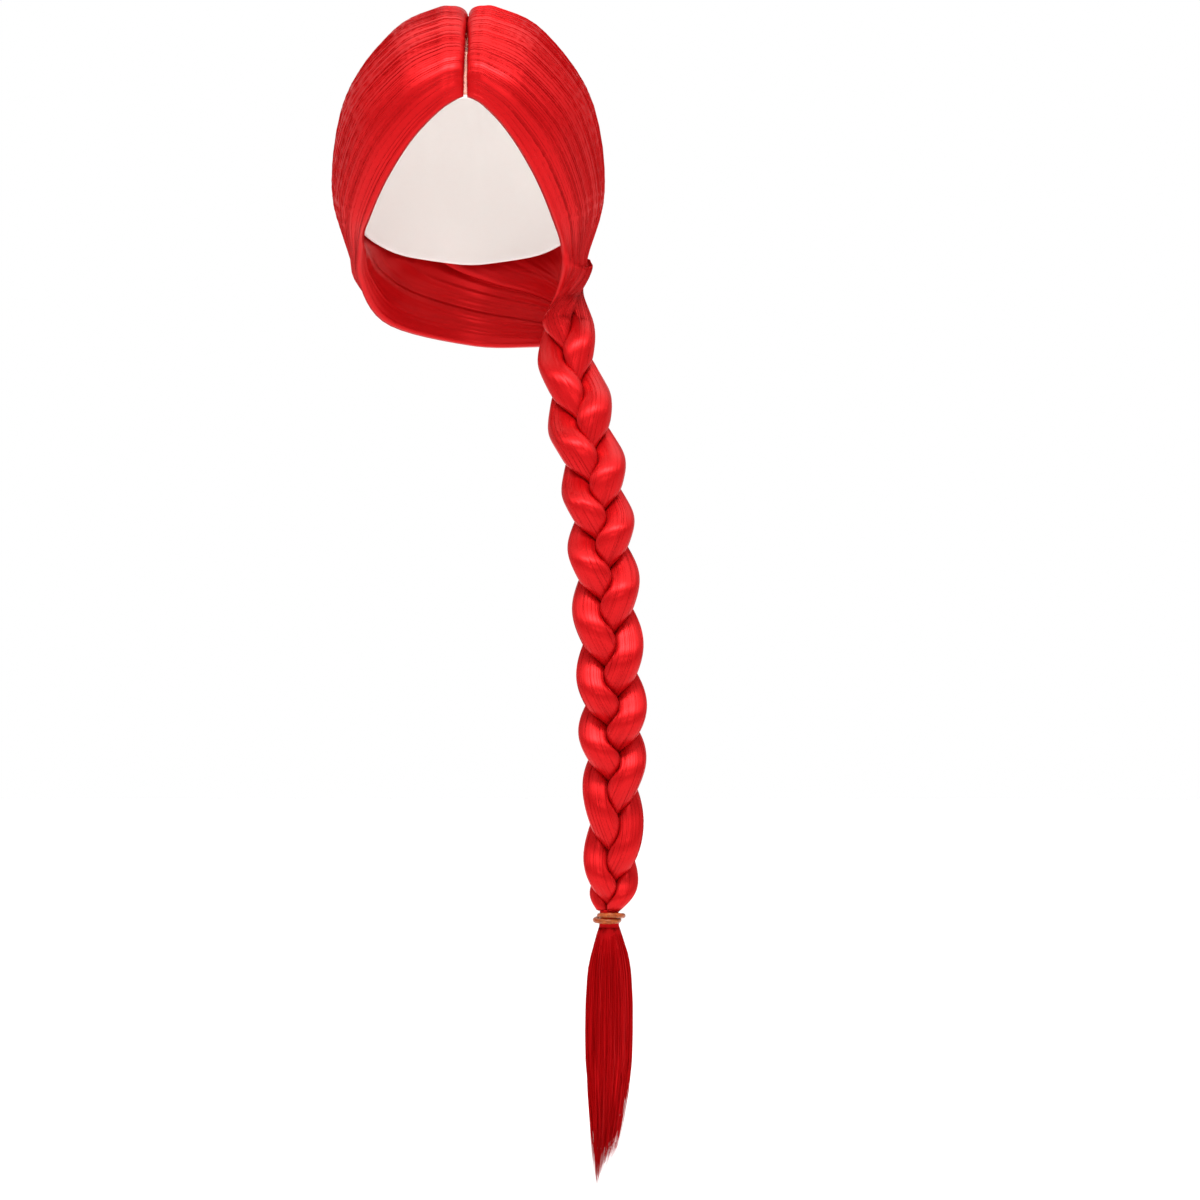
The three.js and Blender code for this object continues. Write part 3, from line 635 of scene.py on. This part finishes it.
# %% [markdown]
# Over the modelled locks lie fibres of their own: thin tubes that follow the flow and dip in and out
# of the surface. There are thousands, so they are built in one go as arrays and joined in one mesh.

# %% Thin tubes in bulk
def surface_at(rings, turn, row):
    """Points on a rolled surface: turn is the share round the ring, row counts along it."""
    count = rings.shape[1]
    place = (turn % 1) * count
    column = np.floor(place).astype(int)
    across = (place - column)[..., None]
    held = np.clip(row, 0, len(rings) - 1)
    upper = np.minimum(np.floor(held).astype(int), len(rings) - 2)
    down = (held - upper)[..., None]
    near, far = column % count, (column + 1) % count
    first = rings[upper, near] * (1 - across) + rings[upper, far] * across
    second = rings[upper + 1, near] * (1 - across) + rings[upper + 1, far] * across
    return first * (1 - down) + second * down


# A direction that no fibre runs along, from which the sides of every tube are turned
TUBE_SIDE = np.array([0.31, 0.87, 0.38])
# How wide one tube is on the layer that carries its colour
UV_WIDTH = 0.002


def tubes(name, paths, radii, sides=3):
    """Joins closed tubes; paths are (tubes, points, 3) and radii (tubes, points)."""
    number, points = radii.shape
    along = unit(np.gradient(paths, axis=1) + 1e-9)
    across = unit(np.cross(along, TUBE_SIDE))
    up = np.cross(across, along)
    angles = np.arange(sides) * 2 * math.pi / sides
    ring = np.cos(angles)[:, None] * across[:, :, None] + np.sin(angles)[:, None] * up[:, :, None]
    corners = paths[:, :, None] + ring * radii[..., None, None]
    block = np.arange(number)[:, None] * points * sides
    lower = (np.arange(points - 1)[:, None] * sides + np.arange(sides)).ravel()
    beside = (np.arange(points - 1)[:, None] * sides + (np.arange(sides) + 1) % sides).ravel()
    walls = np.stack([lower, beside, beside + sides, lower + sides], axis=1)
    quads = (block[:, :, None] + walls[None]).reshape(-1, 4)
    ends = np.stack([np.arange(sides)[::-1], (points - 1) * sides + np.arange(sides)])
    caps = (block[:, :, None] + ends[None]).reshape(-1, sides)
    mesh = bpy.data.meshes.new(name)
    mesh.from_pydata(corners.reshape(-1, 3).tolist(), [], quads.tolist() + caps.tolist())
    steps = np.linalg.norm(np.diff(paths, axis=1), axis=2)
    lengths = np.concatenate([np.zeros((number, 1)), np.cumsum(steps, axis=1)], axis=1)
    shade = np.random.RandomState(number).rand(number)[:, None, None]
    round_tube = np.broadcast_to(np.arange(sides) / sides * UV_WIDTH, (number, points, sides))
    along_tube = np.broadcast_to(lengths[..., None], (number, points, sides))
    flow = np.stack([shade + round_tube, along_tube], axis=-1).reshape(-1, 2)
    corner_of = np.empty(len(mesh.loops), dtype=np.int32)
    mesh.loops.foreach_get("vertex_index", corner_of)
    layer = mesh.uv_layers.new(name="flow")
    layer.data.foreach_set("uv", flow[corner_of].ravel())
    mesh.polygons.foreach_set("use_smooth", [True] * len(mesh.polygons))
    mesh.update()
    piece = bpy.data.objects.new(name, mesh)
    bpy.context.collection.objects.link(piece)
    return piece


# Three waves added up, each with its turn along the tube and its share of the amount
WANDER_WAVES, WANDER_SHARES = np.array([2.0, 4.6, 9.2]), [0.6, 0.3, 0.1]


def wander(random, number, points, amount):
    """Slow seeded side steps along each tube."""
    phase = random.rand(number, 3, 1) * 2 * math.pi
    share = np.linspace(0, 1, points)[None, None, :]
    waves = np.sin(phase + share * WANDER_WAVES[None, :, None])
    return amount * np.tensordot(waves, WANDER_SHARES, axes=([1], [0]))


print("waves in a wandering tube:", len(WANDER_WAVES))

# %% Fibres on a lock
# How far a fibre strays to the side, as a share of the way round its lock
SIDE_STEP = 0.004
# How thin the slimmest fibre is and how much thicker others may be, and what is left at both ends
SLIMMEST, THICKER, END_SHARE = 0.6, 0.8, 0.35


def fibres_on(lock, random, number, points, first_row, last_row, turns, radius, lift, dip):
    """Fibres between two rows of a lock, sunk at both ends and just proud of it in between."""
    share = np.linspace(0, 1, points)[None, :]
    turn = turns[0] + (turns[1] - turns[0]) * random.rand(number, 1)
    turn = turn + wander(random, number, points, SIDE_STEP)
    row = first_row[:, None] + (last_row - first_row)[:, None] * share
    tapered = END_SHARE + (1 - END_SHARE) * np.sin(math.pi * share) ** 0.4
    thick = radius * (SLIMMEST + THICKER * random.rand(number, 1)) * tapered
    height = lift * (random.rand(number, 1) - 0.15) + wander(random, number, points, lift)
    height = height - dip * (1 - np.sin(math.pi * share) ** 0.25)
    base = surface_at(lock["rings"], turn, row)
    outwards = surface_at(lock["normals"], turn, row)
    return base + outwards * height[..., None], thick


# %% Fibres over the sheets and over the braid
SHEET_FIBRES, SHEET_POINTS = 260, 64
STRAND_FIBRES, STRAND_POINTS = 240, 34
FIBRE_RADIUS, STRAND_FIBRE_RADIUS = 0.17 * MM, 0.7 * 0.17 * MM
# How proud the fibres lie, and how deep their ends sink
SHEET_LIFT, SHEET_DIP = 0.16 * MM, 0.8 * MM
STRAND_LIFT, STRAND_DIP = 0.12 * MM, 0.5 * MM
# Most fibres of a sheet begin at the roots, and the others in its first half
FROM_ROOTS = 0.7
# Rows that a fibre of the braid covers at least, and how many more it may
STRAND_REACH, STRAND_SPREAD = 30, 12
OUTER_FACE, WHOLE_RING = (0.0, 0.5), (0.0, 1.0)

for name, lock in LOCKS.items():
    side = name.removeprefix("lock_")
    random = np.random.RandomState(lock["seed"])
    last = len(lock["rings"]) - 1.0
    from_roots = random.rand(SHEET_FIBRES) < FROM_ROOTS
    starts = np.where(from_roots, 0, random.rand(SHEET_FIBRES) * 0.5 * SHEET_ROWS)
    stops = SHEET_ROWS * (0.9 + 0.35 * random.rand(SHEET_FIBRES))
    sheet_paths, sheet_radii = fibres_on(
        lock, random, SHEET_FIBRES, SHEET_POINTS, starts, stops, OUTER_FACE, FIBRE_RADIUS, SHEET_LIFT,
        SHEET_DIP)
    dress(tubes("fibres_" + side, sheet_paths, sheet_radii), "hair", hair)
    starts = SHEET_ROWS + random.rand(STRAND_FIBRES) * (last - SHEET_ROWS - STRAND_REACH)
    stops = np.minimum(starts + STRAND_REACH + STRAND_SPREAD * random.rand(STRAND_FIBRES), last)
    strand_paths, strand_radii = fibres_on(
        lock, random, STRAND_FIBRES, STRAND_POINTS, starts, stops, WHOLE_RING, STRAND_FIBRE_RADIUS,
        STRAND_LIFT, STRAND_DIP)
    dress(tubes("braid_fibres_" + side, strand_paths, strand_radii), "hair", hair)

# %% [markdown]
# The cap is the thin knitted base that sits on the head. It is a dome with an outer and an inner
# face and a hem at its edge, which rises over the forehead and falls to the nape. It could be woven
# thread by thread, but at this size a brick pattern with soft joints reads as a fine knit. It is
# pale, so it stays quiet behind the hair.

# %% Shape of the cap
# The edge of the cap: bearing from the face round to the nape, then its rise, in degrees
CAP_EDGE = np.array([
    (0, 27.5), (10, 25), (20, 18), (30, 9.5), (45, -3), (60, -12), (90, -20), (135, -30), (180, -34)])
CAP_COLUMNS, CAP_ROWS = 168, 64
EDGE_SOFTENING = 9
# Where the first ring lies beside the top, how wide the hem is, and how soft its step and how thick
CAP_TOP = 0.004
HEM_SHARE, HEM_STEP, HEM_LIFT = 0.05, 0.012, 0.35 * MM
# The edge is rolled through three rings, a little past the hem
ROLLED_EDGE = [(1.004, 0), (1.006, -0.5 * CAP_WALL), (1.004, -CAP_WALL)]


def cap_ring(share, lift):
    """A ring of the cap: share of the way from its top to its edge."""
    bearing = np.arange(CAP_COLUMNS) / CAP_COLUMNS * 360
    edge = np.interp(np.minimum(bearing, 360 - bearing), CAP_EDGE[:, 0], CAP_EDGE[:, 1])
    wrap = EDGE_SOFTENING // 2
    wrapped = np.concatenate([edge[-wrap:], edge, edge[:wrap]])
    edge = np.convolve(wrapped, np.ones(EDGE_SOFTENING) / EDGE_SOFTENING, "valid")
    rise = np.radians(90 + (edge - 90) * share)
    bearing = np.radians(bearing)
    outwards = np.cos(rise)
    toward = np.stack([np.sin(bearing) * outwards, -np.cos(bearing) * outwards, np.sin(rise)], axis=-1)
    return on_head(toward, lift)


def cap_rings():
    shares = np.linspace(CAP_TOP, 1, CAP_ROWS)
    hem = smooth((shares - 1 + HEM_SHARE) / HEM_STEP)
    outer = [cap_ring(share, HEM_LIFT * on) for share, on in zip(shares, hem)]
    inner = [cap_ring(share, -CAP_WALL - 0.5 * HEM_LIFT * on) for share, on in zip(shares, hem)]
    rolled = [cap_ring(share, lift) for share, lift in ROLLED_EDGE]
    return np.array(outer + rolled + inner[::-1])


print("cap wall", round(CAP_WALL / MM, 1), "mm")

# %% Knitted net and the finished cap
def fabric(name, colour, dark, across, along, strength):
    """A fine knit: pale raised threads around darker gaps, counted across and along."""
    material, tree, surface = new_material(name)
    uv = node(tree, "ShaderNodeUVMap", uv_map="flow").outputs["UV"]
    mapping = node(tree, "ShaderNodeMapping")
    mapping.inputs["Scale"].default_value = (across, along, 1)
    tree.links.new(uv, mapping.inputs["Vector"])
    knit = node(tree, "ShaderNodeTexBrick")
    knit.offset = 0.5
    settle(knit, {
        "Scale": 1.0, "Mortar Size": 0.11, "Mortar Smooth": 0.6, "Brick Width": 1.0, "Row Height": 1.0,
        "Color1": (*dark, 1), "Color2": (*dark, 1), "Mortar": (*colour, 1)})
    tree.links.new(mapping.outputs["Vector"], knit.inputs["Vector"])
    tree.links.new(knit.outputs["Color"], surface.inputs["Base Color"])
    bump = node(tree, "ShaderNodeBump", Strength=strength, Distance=0.0004)
    tree.links.new(knit.outputs["Fac"], bump.inputs["Height"])
    tree.links.new(bump.outputs["Normal"], surface.inputs["Normal"])
    settle(surface, {"Roughness": 0.85, "Sheen Weight": 0.3})
    return material


THREAD, GAP = (0.93, 0.91, 0.88), (0.84, 0.81, 0.78)
net = fabric("cap_net", THREAD, GAP, 300, 620, 0.5)
cap_shape = cap_rings()
cap = new_piece("cap_net", lambda shape: rolled_grid(shape, cap_shape, ring_lengths(cap_shape[:, :1])))
dress(cap, "cap", net, "cap")

# %% [markdown]
# The parting shows a narrow strip of skin tone between the two rows of roots. The strip is a slim
# rounded band laid over the cap, and short root hairs rise from it to either side. They are sparse
# at the forehead, where the skin shows, and dense towards the crown, where the parting closes.

# %% Parting strip
PARTING_FRONT, PARTING_BACK = 27.2, 115
PARTING_HALF_WIDTH = 1.8 * MM
PARTING_LIFT = 0.65 * MM
PARTING_HALF_THICKNESS = 0.25 * MM
PARTING_ROWS, PARTING_SIDES = 90, 16


def parting_rings():
    angles = np.radians(np.arange(PARTING_SIDES) * (360 / PARTING_SIDES))
    rings = []
    for turn in np.linspace(PARTING_FRONT, PARTING_BACK, PARTING_ROWS):
        sides = np.degrees(np.cos(angles) * PARTING_HALF_WIDTH / HEAD_AXES[0])
        lifts = PARTING_LIFT + np.sin(angles) * PARTING_HALF_THICKNESS
        rings.append([on_head(direction(side, turn), lift) for side, lift in zip(sides, lifts)])
    return np.array(rings)


def skin_material():
    material, tree, surface = new_material("parting_skin")
    coordinates = node(tree, "ShaderNodeTexCoord")
    noise = node(tree, "ShaderNodeTexNoise", Scale=900.0, Detail=3.0)
    tree.links.new(coordinates.outputs["Object"], noise.inputs["Vector"])
    colour = ramp(tree, noise.outputs["Fac"], [(0.35, (0.72, 0.30, 0.22)), (0.65, (0.86, 0.47, 0.36))])
    tree.links.new(colour, surface.inputs["Base Color"])
    bump = node(tree, "ShaderNodeBump", Strength=0.4, Distance=0.0002)
    tree.links.new(noise.outputs["Fac"], bump.inputs["Height"])
    tree.links.new(bump.outputs["Normal"], surface.inputs["Normal"])
    settle(surface, {"Roughness": 0.6, "Subsurface Weight": 0.15, "Subsurface Scale": 0.002})
    return material


strip_shape = parting_rings()
strip = new_piece(
    "parting_skin", lambda shape: rolled_grid(shape, strip_shape, ring_lengths(strip_shape)))
dress(strip, "parting", skin_material(), "parting_strip")

# %% Root hairs
ROOT_HAIRS, ROOT_POINTS = 700, 8
ROOT_RADIUS = 0.14 * MM
# All in degrees: the turns where the root hairs begin and end, and the turns over which the parting
# closes, because more and more of them start on the strip
ROOTS_FRONT, ROOTS_BACK = 27.5, 118
CLOSING_START, CLOSING_REACH = 38, 25
# How far inwards a root may lie at most, and how far out a hair lies down again, at least and spread
INWARDS, LIES_DOWN, LIES_SPREAD = 1.6, 4.5, 2.5
# How high a hair starts and rises, in millimetres, and the share of the rise by turn
ROOT_LIFT, FULL_RISE = 0.5, 8.5
ROOT_RISE = np.array([(27, 0.28), (36, 0.55), (50, 0.85), (70, 0.95)])

random = np.random.RandomState(5)
turns = ROOTS_FRONT + (ROOTS_BACK - ROOTS_FRONT) * random.rand(ROOT_HAIRS) ** 0.8
side_sign = np.where(random.rand(ROOT_HAIRS) < 0.5, -1, 1)
closed = 0.45 + 0.55 * smooth((turns - CLOSING_START) / CLOSING_REACH)
starts = side_sign * (ROOT_SIDE - INWARDS * random.rand(ROOT_HAIRS) * closed)
reach = side_sign * (LIES_DOWN + LIES_SPREAD * random.rand(ROOT_HAIRS))
share = np.linspace(0, 1, ROOT_POINTS)[None, :]
side_path = starts[:, None] + (reach - starts)[:, None] * share**1.15
height_share = np.interp(turns, ROOT_RISE[:, 0], ROOT_RISE[:, 1])
rise = FULL_RISE * height_share[:, None] - 0.2
lift_path = (ROOT_LIFT + rise * np.sin(share * math.pi / 2) ** 0.75) * MM
turn_path = turns[:, None] + (random.rand(ROOT_HAIRS, 1) - 0.5) * 3 * share
root_paths = np.array([
    [on_head(direction(side, turn), lift) for side, turn, lift in zip(*rows)]
    for rows in zip(side_path, turn_path, lift_path)])
root_radii = np.broadcast_to(ROOT_RADIUS * (1 - 0.4 * share), (ROOT_HAIRS, ROOT_POINTS))
dress(tubes("root_hairs", root_paths, root_radii), "hair", hair)

# %% [markdown]
# A thin amber elastic closes the braid. It is one closed loop wound twice, whose turns lie above each
# other in front and cross at the back, so a circle is carried round twice and joined end to start.

# %% Shape of the elastic
ELASTIC_RADIUS, ELASTIC_PITCH, ELASTIC_THICKNESS = 7.6 * MM, 3.9 * MM, 3.4 * MM
ELASTIC_ROWS, ELASTIC_SIDES, ELASTIC_MERGE = 289, 20, 1e-5
# The cord is a little uneven: share of its thickness, and swellings in one round
UNEVEN, SWELLINGS = 0.025, 9
BELOW_BRAID = 0.7 * MM
tie_drop = ELASTIC_PITCH / 2 + ELASTIC_THICKNESS / 2 + BELOW_BRAID
TIE_MIDDLE = along_curve(route_points, [1.0])[0] - [0, 0, tie_drop]


def elastic_point(angle):
    """The middle of the elastic's cord, which closes after two rounds."""
    radius = ELASTIC_RADIUS + ELASTIC_PITCH / 2 * np.sin(angle / 2)
    rise = ELASTIC_PITCH / 2 * np.cos(angle / 2)
    return TIE_MIDDLE + np.stack([radius * np.sin(angle), -radius * np.cos(angle), rise], axis=-1)


def elastic_rings():
    angle = np.linspace(0, 4 * math.pi, ELASTIC_ROWS)
    middle = elastic_point(angle)
    along = unit(elastic_point(angle + 0.01) - elastic_point(angle - 0.01))
    up = unit(np.array([0, 0, 1.0]) - along[:, 2:] * along)
    out = np.cross(up, along)
    turn = np.radians(np.arange(ELASTIC_SIDES) * (360 / ELASTIC_SIDES))[None, :, None]
    radius = ELASTIC_THICKNESS / 2 * (1 + UNEVEN * np.sin(angle * SWELLINGS + 1)[:, None, None])
    return middle[:, None] + radius * (np.cos(turn) * up[:, None] + np.sin(turn) * out[:, None])


print("elastic", round(2 * ELASTIC_RADIUS / MM, 1), "mm across its middle")

# %% Amber rubber and the finished elastic
def rubber_material():
    material, tree, surface = new_material("elastic_amber")
    coordinates = node(tree, "ShaderNodeTexCoord")
    noise = node(tree, "ShaderNodeTexNoise", Scale=420.0, Detail=2.0)
    tree.links.new(coordinates.outputs["Object"], noise.inputs["Vector"])
    colour = ramp(tree, noise.outputs["Fac"], [
        (0.35, (0.22, 0.034, 0.006)), (0.65, (0.40, 0.085, 0.018))])
    tree.links.new(colour, surface.inputs["Base Color"])
    settle(surface, {
        "Roughness": 0.28, "Subsurface Weight": 0.3, "Subsurface Scale": 0.003, "Coat Weight": 0.15,
        "Coat Roughness": 0.15, "Specular Tint": (1.0, 0.55, 0.3, 1)})
    return material


elastic_shape = elastic_rings()


def build_elastic(shape):
    rolled_grid(shape, elastic_shape, ring_lengths(elastic_shape), fill=False)
    ends = [vert for vert in shape.verts if vert.is_boundary]
    bmesh.ops.remove_doubles(shape, verts=ends, dist=ELASTIC_MERGE)


elastic = new_piece("elastic_band", build_elastic)
dress(elastic, "elastic", rubber_material(), "elastic_tie")

# %% [markdown]
# Below the elastic the hair hangs loose. A slim body swells and narrows again, and fibres of
# different lengths lie over it. Those on the wearer's right reach lowest, so the tail ends in a
# slanting wisp.

# %% Places in the tail
TAIL_LENGTH, TAIL_HALF_WIDTH, TAIL_DEPTH = 176 * MM, 15.2 * MM, 0.66
# One row per height: share of the length, left and right edges as shares of the half width
TAIL_FORM = np.array([
    (-0.03, 0.44, 0.44), (0.03, 0.47, 0.47), (0.06, 0.60, 0.60), (0.125, 0.78, 0.80), (0.2, 0.92, 0.93),
    (0.31, 1.00, 1.00), (0.42, 1.02, 1.00), (0.53, 1.00, 0.97), (0.64, 0.95, 0.84), (0.75, 0.86, 0.64),
    (0.84, 0.80, 0.42), (0.92, 0.70, 0.02), (1.0, 0.56, -0.40)])


def tail_point(bearing, below, out):
    """A place in the tail: bearing round it, share of its length, share of the way out."""
    left = np.interp(below, TAIL_FORM[:, 0], TAIL_FORM[:, 1]) * TAIL_HALF_WIDTH
    right = np.interp(below, TAIL_FORM[:, 0], TAIL_FORM[:, 2]) * TAIL_HALF_WIDTH
    half, middle = (left + right) / 2, (right - left) / 2
    return TIE_MIDDLE + np.stack([
        middle + half * out * np.sin(bearing),
        -half * TAIL_DEPTH * out * np.cos(bearing),
        -below * TAIL_LENGTH * np.ones_like(out)], axis=-1)


print("tail", round(TAIL_LENGTH / MM), "mm long")

# %% Body of the tail
CORE_ROWS, CORE_SIDES = 150, 120
# From where to where the body reaches, where it starts to close, and how blunt its tip is
CORE_TOP, CORE_TIP, CORE_CLOSES, CORE_BLUNTNESS = -0.03, 0.84, 0.5, 0.985
CORE_OUT = 0.9
TAIL_RELIEF = 0.6


def tail_rings():
    bearing = np.radians(np.arange(CORE_SIDES) * (360 / CORE_SIDES))
    shares = np.linspace(CORE_TOP, CORE_TIP, CORE_ROWS)
    tips = np.clip((shares - CORE_CLOSES) / (CORE_TIP - CORE_CLOSES), 0, 1)
    out = CORE_OUT * np.sqrt(1 - CORE_BLUNTNESS * tips**2)
    return np.array([
        tail_point(bearing, np.full(CORE_SIDES, share), amount) for share, amount in zip(shares, out)])


tail_shape = tail_rings()
tail_lengths = ring_lengths(tail_shape)
rows, count = tail_shape.shape[:2]
across = np.broadcast_to(np.arange(count) / count, (rows, count))
along = np.broadcast_to((tail_lengths / tail_lengths[-1])[:, None], (rows, count))
swelling = smooth((along - 0.05) / 0.15) * smooth((1 - along) / 0.2)
tail_height = TAIL_RELIEF * swelling * hair_relief(61, across, along)
tail_shape = tail_shape + ring_normals(tail_shape) * tail_height[..., None]
tail = new_piece("tail_core", lambda shape: rolled_grid(shape, tail_shape, tail_lengths))
dress(tail, "hair", tail_hair, "tail")

# %% Fibres of the tail
TAIL_FIBRES, TAIL_POINTS = 700, 26
TAIL_FIBRE_RADIUS = 0.24 * MM
# Where the fibres leave the elastic, and between which shares of the length they end
FIBRES_TOP, ENDS_FIRST, ENDS_LAST = 0.035, 0.80, 1.0
TAIL_WANDER = 0.10

random = np.random.RandomState(71)
bearing = random.rand(TAIL_FIBRES, 1) * 2 * math.pi
leaning = -np.sin(bearing)
ends = ENDS_FIRST + (ENDS_LAST - ENDS_FIRST) * (
    0.42 + 0.2 * leaning + 0.5 * (random.rand(TAIL_FIBRES, 1) - 0.35))
share = np.linspace(0, 1, TAIL_POINTS)[None, :]
below = FIBRES_TOP + (ends - FIBRES_TOP) * share
out = 0.87 + 0.13 * random.rand(TAIL_FIBRES, 1) * smooth(share * 6)
out = out * (1 - 0.8 * random.rand(TAIL_FIBRES, 1) * smooth((share - 0.5) / 0.5))
drift = bearing + wander(random, TAIL_FIBRES, TAIL_POINTS, TAIL_WANDER)
tail_paths = tail_point(drift, below, out)
thick = TAIL_FIBRE_RADIUS * (SLIMMEST + THICKER * random.rand(TAIL_FIBRES, 1))
tail_radii = thick * np.clip(1 - share**4, 0.05, 1)
dress(tubes("tail_fibres", tail_paths, tail_radii), "hair", tail_hair)

# %% [markdown]
# Everything around the piece stays plain: a pale floor, a soft sky and two large soft lamps from
# above and in front. The sky is brighter at the horizon and overhead and dimmer in between, so the
# gloss of the hair has darker places to show. The camera is level and far away, with a long lens.

# %% Floor
FLOOR_DROP = 12 * MM
FLOOR_RADIUS, FLOOR_SIDES = 8, 96


def stage_floor():
    def build(shape):
        bmesh.ops.create_circle(shape, cap_ends=True, radius=FLOOR_RADIUS, segments=FLOOR_SIDES)
        bmesh.ops.translate(shape, verts=shape.verts, vec=(0, 0, cad_box[0][2] - FLOOR_DROP))
    floor = new_piece("floor", build)
    material, _, surface = new_material("floor_pale")
    settle(surface, {"Base Color": (0.93, 0.93, 0.93, 1), "Roughness": 0.9})
    floor.data.materials.append(material)


stage_floor()
print("floor", round(FLOOR_DROP / MM), "mm below the tips of the tail")

# %% Lamps
def soft_lamp(name, place, target, size, power):
    """A rectangular lamp that looks at a target."""
    lamp = bpy.data.lights.new(name, "AREA")
    lamp.shape = "RECTANGLE"
    lamp.size, lamp.size_y = size
    lamp.energy = power
    holder = bpy.data.objects.new(name, lamp)
    bpy.context.collection.objects.link(holder)
    holder.location = place
    aim = np.subtract(target, place)
    holder.rotation_euler = (
        math.atan2(math.hypot(aim[0], aim[1]), -aim[2]),
        0,
        math.atan2(-aim[0], aim[1]),
    )
    print(name, power, "W")


soft_lamp("lamp_top", (0.05, -1.1, 1.7), (0.03, 0, -0.1), (1.3, 0.5), 42)
soft_lamp("lamp_front", (0.25, -2.4, 0.9), (0.04, 0, -0.15), (0.8, 0.6), 9)

# %% Sky
# Height from straight down at 0 to straight up at 1, then how bright the sky is there
SKY_BANDS = [(0.30, 0.12), (0.445, 0.5), (0.555, 0.5), (0.68, 0.12), (0.80, 0.26), (0.92, 1.0)]
SKY_STRENGTH = 2.0

world = bpy.data.worlds.new("sky")
world.use_nodes = True
sky = world.node_tree
where = node(sky, "ShaderNodeTexCoord")
height = node(sky, "ShaderNodeSeparateXYZ")
sky.links.new(where.outputs["Generated"], height.inputs["Vector"])
level = node(sky, "ShaderNodeMapRange")
level.inputs["From Min"].default_value, level.inputs["From Max"].default_value = -1, 1
sky.links.new(height.outputs["Z"], level.inputs["Value"])
bands = ramp(sky, level.outputs["Result"], [(place, (bright,) * 3) for place, bright in SKY_BANDS])
sky.links.new(bands, sky.nodes["Background"].inputs["Color"])
sky.nodes["Background"].inputs["Strength"].default_value = SKY_STRENGTH
bpy.context.scene.world = world
bpy.context.scene.view_settings.view_transform = "Standard"
print("sky bands:", len(SKY_BANDS))

# %% Camera
CAMERA_PLACE = (0.087, -4.0, -0.38)
FRAME_WIDTH = 0.792

camera = bpy.data.cameras.new("camera")
camera.sensor_width = 36
camera.lens = camera.sensor_width * -CAMERA_PLACE[1] / FRAME_WIDTH
camera.clip_end = 100
eye = bpy.data.objects.new("camera", camera)
bpy.context.collection.objects.link(eye)
eye.location = CAMERA_PLACE
eye.rotation_euler = (math.pi / 2, 0, 0)
bpy.context.scene.camera = eye
print("lens", round(camera.lens, 1), "mm")
